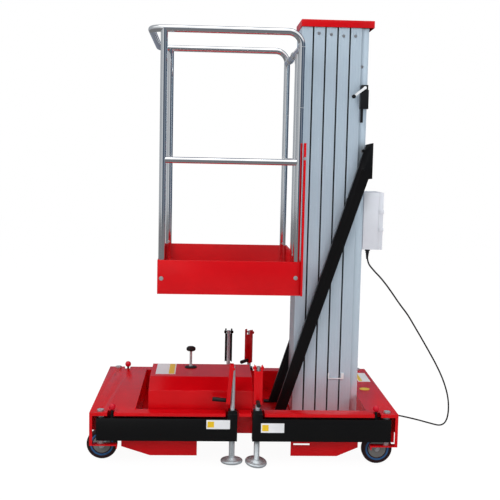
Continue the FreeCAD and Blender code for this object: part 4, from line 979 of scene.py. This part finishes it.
class LIFT_OT_wheels(bpy.types.Operator):
    """Turn the tyres, their blue rings and the grey hubs"""

    bl_idname = "lift.wheels"
    bl_label = "Wheels"

    def execute(self, context):
        for corner in CORNERS:
            low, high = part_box(f"tyre_{corner}")
            centre = (Vector(low) + Vector(high)) / 2
            r = (high[2] - low[2]) / 2
            w = (high[1] - low[1]) / 2
            body = f"wheel_{corner}_body"
            tyre = (
                (-w * 0.92, r * 0.76), (-w, r * 0.80), (-w * 0.97, r * 0.90),
                (-w * 0.80, r * 0.965), (-w * 0.45, r),
                (w * 0.45, r), (w * 0.80, r * 0.965),
                (w * 0.97, r * 0.90), (w, r * 0.80), (w * 0.92, r * 0.76),
            )
            made = finished(f"tyre_{corner}_turned", lathe(tyre, centre, segments=56), body, "tyre_rubber")
            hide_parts(f"tyre_{corner}")
            ring = (
                (-w * 0.91, r * 0.64), (-w * 0.97, r * 0.66), (-w * 0.97, r * 0.745), (-w * 0.91, r * 0.765),
                (w * 0.91, r * 0.765), (w * 0.97, r * 0.745), (w * 0.97, r * 0.66), (w * 0.91, r * 0.64),
            )
            finished(f"wheel_ring_{corner}", lathe(ring, centre, segments=56), body, "wheel_blue")
            groove = (
                (-w * 0.86, r * 0.50), (-w * 0.86, r * 0.65), (w * 0.86, r * 0.65), (w * 0.86, r * 0.50),
            )
            finished(f"wheel_groove_{corner}", lathe(groove, centre, segments=48), body, "black_plastic")
            hub = (
                (-w * 1.00, r * 0.12), (-w * 1.00, r * 0.24), (-w * 0.94, r * 0.27), (-w * 0.93, r * 0.57),
                (-w * 0.86, r * 0.60), (w * 0.86, r * 0.60), (w * 0.93, r * 0.57), (w * 0.94, r * 0.27),
                (w * 1.00, r * 0.24), (w * 1.00, r * 0.12),
            )
            turned = lathe(hub, centre, segments=40)
            made = finished(f"wheel_hub_{corner}_turned", turned, body, "wheel_blue", "hub_grey")
            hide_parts(f"wheel_hub_{corner}")
        return {"FINISHED"}


class LIFT_OT_jacks(bpy.types.Operator):
    """Finish the screw jacks, their cranks and their grips"""

    bl_idname = "lift.jacks"
    bl_label = "Jacks"

    jack_x = 54.5
    jack_y = 398
    thread_low = 254
    thread_high = 396

    def execute(self, context):
        pitch = sizes().thread
        length = (self.thread_high - self.thread_low) / 1000
        for corner in CORNERS:
            body = f"jack_{corner}_body"
            dressed(f"jack_screw_{corner}", "galvanised", angle=50)
            # Painted shade: the far-left crank takes black paint for the shadow in its open channel; the
            # other cranks keep red paint.
            look = "black_paint" if corner == "left_far" else "red_paint"
            dressed(f"jack_crank_{corner}", "red_paint", 0.0008, look)
            dressed(f"crank_grip_{corner}", "black_rubber", 0.0015)
            spot = at(end_of(corner) * self.jack_x, side_of(corner) * self.jack_y, self.thread_low)
            values = {
                "Turns": length / pitch, "Radius": 0.0090, "Length": length, "Wire": 0.0011, "Place": spot,
                "Finish": FINISHES["galvanised"],
            }
            mesh = grown(f"jack_thread_{corner}", tree_for("thread"), values)
            finished(f"jack_thread_{corner}", mesh, body, "galvanised")
        return {"FINISHED"}


class LIFT_OT_small_parts(bpy.types.Operator):
    """Finish the knobs, pins, casters, switch and gland"""

    bl_idname = "lift.small_parts"
    bl_label = "Small parts"

    pieces = (
        ("pins_and_stub_axles", "zinc_steel", 0.0006),
        ("caster_plates", "zinc_steel", 0.0008),
        ("caster_fork_near", "zinc_steel", 0.0008),
        ("caster_fork_far", "zinc_steel", 0.0008),
        ("cover_grommet", "black_rubber", 0.0005),
        ("lowering_knob", "black_plastic", 0.0010),
        ("limit_switch", "black_plastic", 0.0008),
        ("cord_gland", "black_plastic", 0.0006),
    )

    lowering_head = 0.0205
    # Where the switch's bright lever lies, in from the front of its roller.
    lever_front = 0.0055
    lever_back = 0.0085

    def execute(self, context):
        for node, slot, edge in self.pieces:
            dressed(node, slot, edge)
        switch = bpy.data.objects["limit_switch_dressed"]
        switch.data.materials.append(FINISHES["bracket_light"])
        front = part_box("limit_switch")[0][1]
        for face in switch.data.polygons:
            if self.lever_front < face.center.y - front < self.lever_back:
                face.material_index = 1
        stem = bpy.data.objects["lowering_knob_dressed"]
        stem.data.materials.append(FINISHES["zinc_steel"])
        head_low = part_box("lowering_knob")[1][2] - self.lowering_head
        for face in stem.data.polygons:
            if face.center.z < head_low:
                face.material_index = 1
        for corner in CORNERS:
            knob = dressed(f"arm_lock_knob_{corner}", "knob_red")
            knob.data.materials.append(FINISHES["black_plastic"])
            low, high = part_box(f"arm_lock_knob_{corner}")
            ball_low = high[2] - 0.0275
            for face in knob.data.polygons:
                if face.center.z < ball_low:
                    face.material_index = 1
        return {"FINISHED"}


class LIFT_OT_fasteners(bpy.types.Operator):
    """Set the bolts and screws that show"""

    bl_idname = "lift.fasteners"
    bl_label = "Fasteners"

    # Body, finish, head width and height in millimetres, and each head's place and direction.
    rows = (
        ("mast_stage_2", "screw_dark", 10, 2.5, (
            ((311, -111, 1907), (0, -1, 0)), ((311, 111, 1907), (0, 1, 0)),
        )),
        ("mast_stage_3", "screw_dark", 10, 2.5, (
            ((367, -111, 1904), (0, -1, 0)), ((367, 111, 1904), (0, 1, 0)),
        )),
        ("mast_stage_4", "screw_dark", 10, 2.5, (
            ((423, -111, 1898), (0, -1, 0)), ((423, 111, 1898), (0, 1, 0)),
        )),
        ("chassis", "screw_dark", 10, 2.5, (
            ((477, -111, 1899), (0, -1, 0)), ((477, 111, 1899), (0, 1, 0)),
            ((512, -100, 1765), (0, -1, 0)), ((526, -100, 1386), (0, -1, 0)), ((526, 100, 1386), (0, 1, 0)),
        )),
        ("platform", "zinc_steel", 13, 3.0, (
            ((-372, -370, 820), (0, -1, 0)), ((208, -370, 830), (0, -1, 0)),
            ((-372, 370, 820), (0, 1, 0)), ((208, 370, 830), (0, 1, 0)),
        )),
        ("platform", "zinc_steel", 9, 2.5, (
            ((233.5, -385, 1345), (0, -1, 0)),
            ((210.7, -202.5, 914), (0, -1, 0)),
            ((210.7, 335, 912), (0, -1, 0)), ((-371, 335, 912), (0, -1, 0)),
        )),
    )

    def execute(self, context):
        for index, (body, look, wide, tall, spots) in enumerate(self.rows):
            name = f"bolt_heads_{index}"
            placed = [(at(*spot), way) for spot, way in spots]
            values = {
                "Head Width": wide / 1000, "Head Height": tall / 1000, "Sides": 6, "Finish": FINISHES[look],
            }
            finished(name, grown(name, tree_for("bolt"), values, placed), body, "zinc_steel", look)
        for corner in CORNERS:
            low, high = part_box(f"wheel_hub_{corner}")
            middle = (Vector(low) + Vector(high)) / 2
            ends = ((low[1] + 0.001, -1), (high[1] - 0.001, 1))
            spots = [(Vector((middle.x, y, middle.z)), (0, s, 0)) for y, s in ends]
            values = {
                "Head Width": 0.017, "Head Height": 0.0035, "Sides": 6, "Finish": FINISHES["zinc_steel"],
            }
            name = f"axle_nut_{corner}"
            finished(name, grown(name, tree_for("bolt"), values, spots), f"wheel_{corner}_body", "zinc_steel")
        return {"FINISHED"}


class LIFT_OT_plates(bpy.types.Operator):
    """Fix the blank plates"""

    bl_idname = "lift.plates"
    bl_label = "Blank plates"

    arm_face = 423
    deck_z = 242
    cover_z = 362

    def flat(self, name, body, low, high, finish):
        finished(name, slab(at(*low), at(*high)), body, "box_grey", finish)

    def execute(self, context):
        thick = sizes().plate * 1000
        for corner in CORNERS:
            s = side_of(corner)
            x0, x1, z0, z1 = (-167, -65, 173, 213) if end_of(corner) < 0 else (70, 171, 158, 200)
            y0, y1 = sorted((s * self.arm_face, s * (self.arm_face + thick)))
            body = f"arm_{corner}_body"
            self.flat(f"arm_plate_{corner}", body, (x0, y0, z0), (x1, y1, z1), "plate_white")
            y0, y1 = sorted((s * self.arm_face, s * (self.arm_face + 1.5 * thick)))
            a, b = (x0 + 5, x0 + 33) if s < 0 else (x1 - 33, x1 - 5)
            self.flat(f"arm_plate_patch_{corner}", body, (a, y0, z0 + 7), (b, y1, z1 - 7), "plate_yellow")
        z = self.cover_z
        self.flat("cover_plate", "chassis", (-400, -213, z), (-311, -12, z + thick), "plate_white")
        high = z + 1.5 * thick
        self.flat("cover_plate_patch", "chassis", (-341, -208, z), (-316, -17, high), "plate_yellow")
        z = self.deck_z
        self.flat("deck_plate", "chassis", (591, 150, z), (653, 330, z + thick), "plate_white")
        self.flat("deck_plate_patch", "chassis", (595, 160, z), (613, 320, z + 1.5 * thick), "plate_yellow")
        disc = ((0.0, 0.0245), (thick / 1000, 0.0245))
        finished("deck_disc", lathe(disc, at(597, 11, z), "Z", 40), "chassis", "box_grey", "plate_yellow")
        return {"FINISHED"}


class LIFT_PT_sidebar(bpy.types.Panel):
    """The lift's pieces"""

    bl_idname = "LIFT_PT_sidebar"
    bl_label = "Mast Lift"
    bl_space_type = "VIEW_3D"
    bl_region_type = "UI"
    bl_category = "Mast Lift"

    def draw(self, context):
        for group in (context.scene.lift_colours, context.scene.lift_sizes):
            for name in group.__annotations__:
                self.layout.prop(group, name)
        for step in STEPS:
            self.layout.operator(step.bl_idname)


STEPS = (
    LIFT_OT_finishes,
    LIFT_OT_stage,
    LIFT_OT_cord,
    LIFT_OT_painted,
    LIFT_OT_mast,
    LIFT_OT_rails,
    LIFT_OT_wheels,
    LIFT_OT_jacks,
    LIFT_OT_small_parts,
    LIFT_OT_fasteners,
    LIFT_OT_plates,
)
CLASSES = (LiftColours, LiftSizes, *STEPS, LIFT_PT_sidebar)


def register():
    for kind in CLASSES:
        bpy.utils.register_class(kind)
    bpy.types.Scene.lift_colours = bpy.props.PointerProperty(type=LiftColours)
    bpy.types.Scene.lift_sizes = bpy.props.PointerProperty(type=LiftSizes)


def unregister():
    del bpy.types.Scene.lift_sizes
    del bpy.types.Scene.lift_colours
    for kind in reversed(CLASSES):
        bpy.utils.unregister_class(kind)


def main():
    """Builds the dressed lift."""
    register()
    for step in STEPS:
        group, name = step.bl_idname.split(".")
        getattr(getattr(bpy.ops, group), name)()


if __name__ == "__main__":
    main()
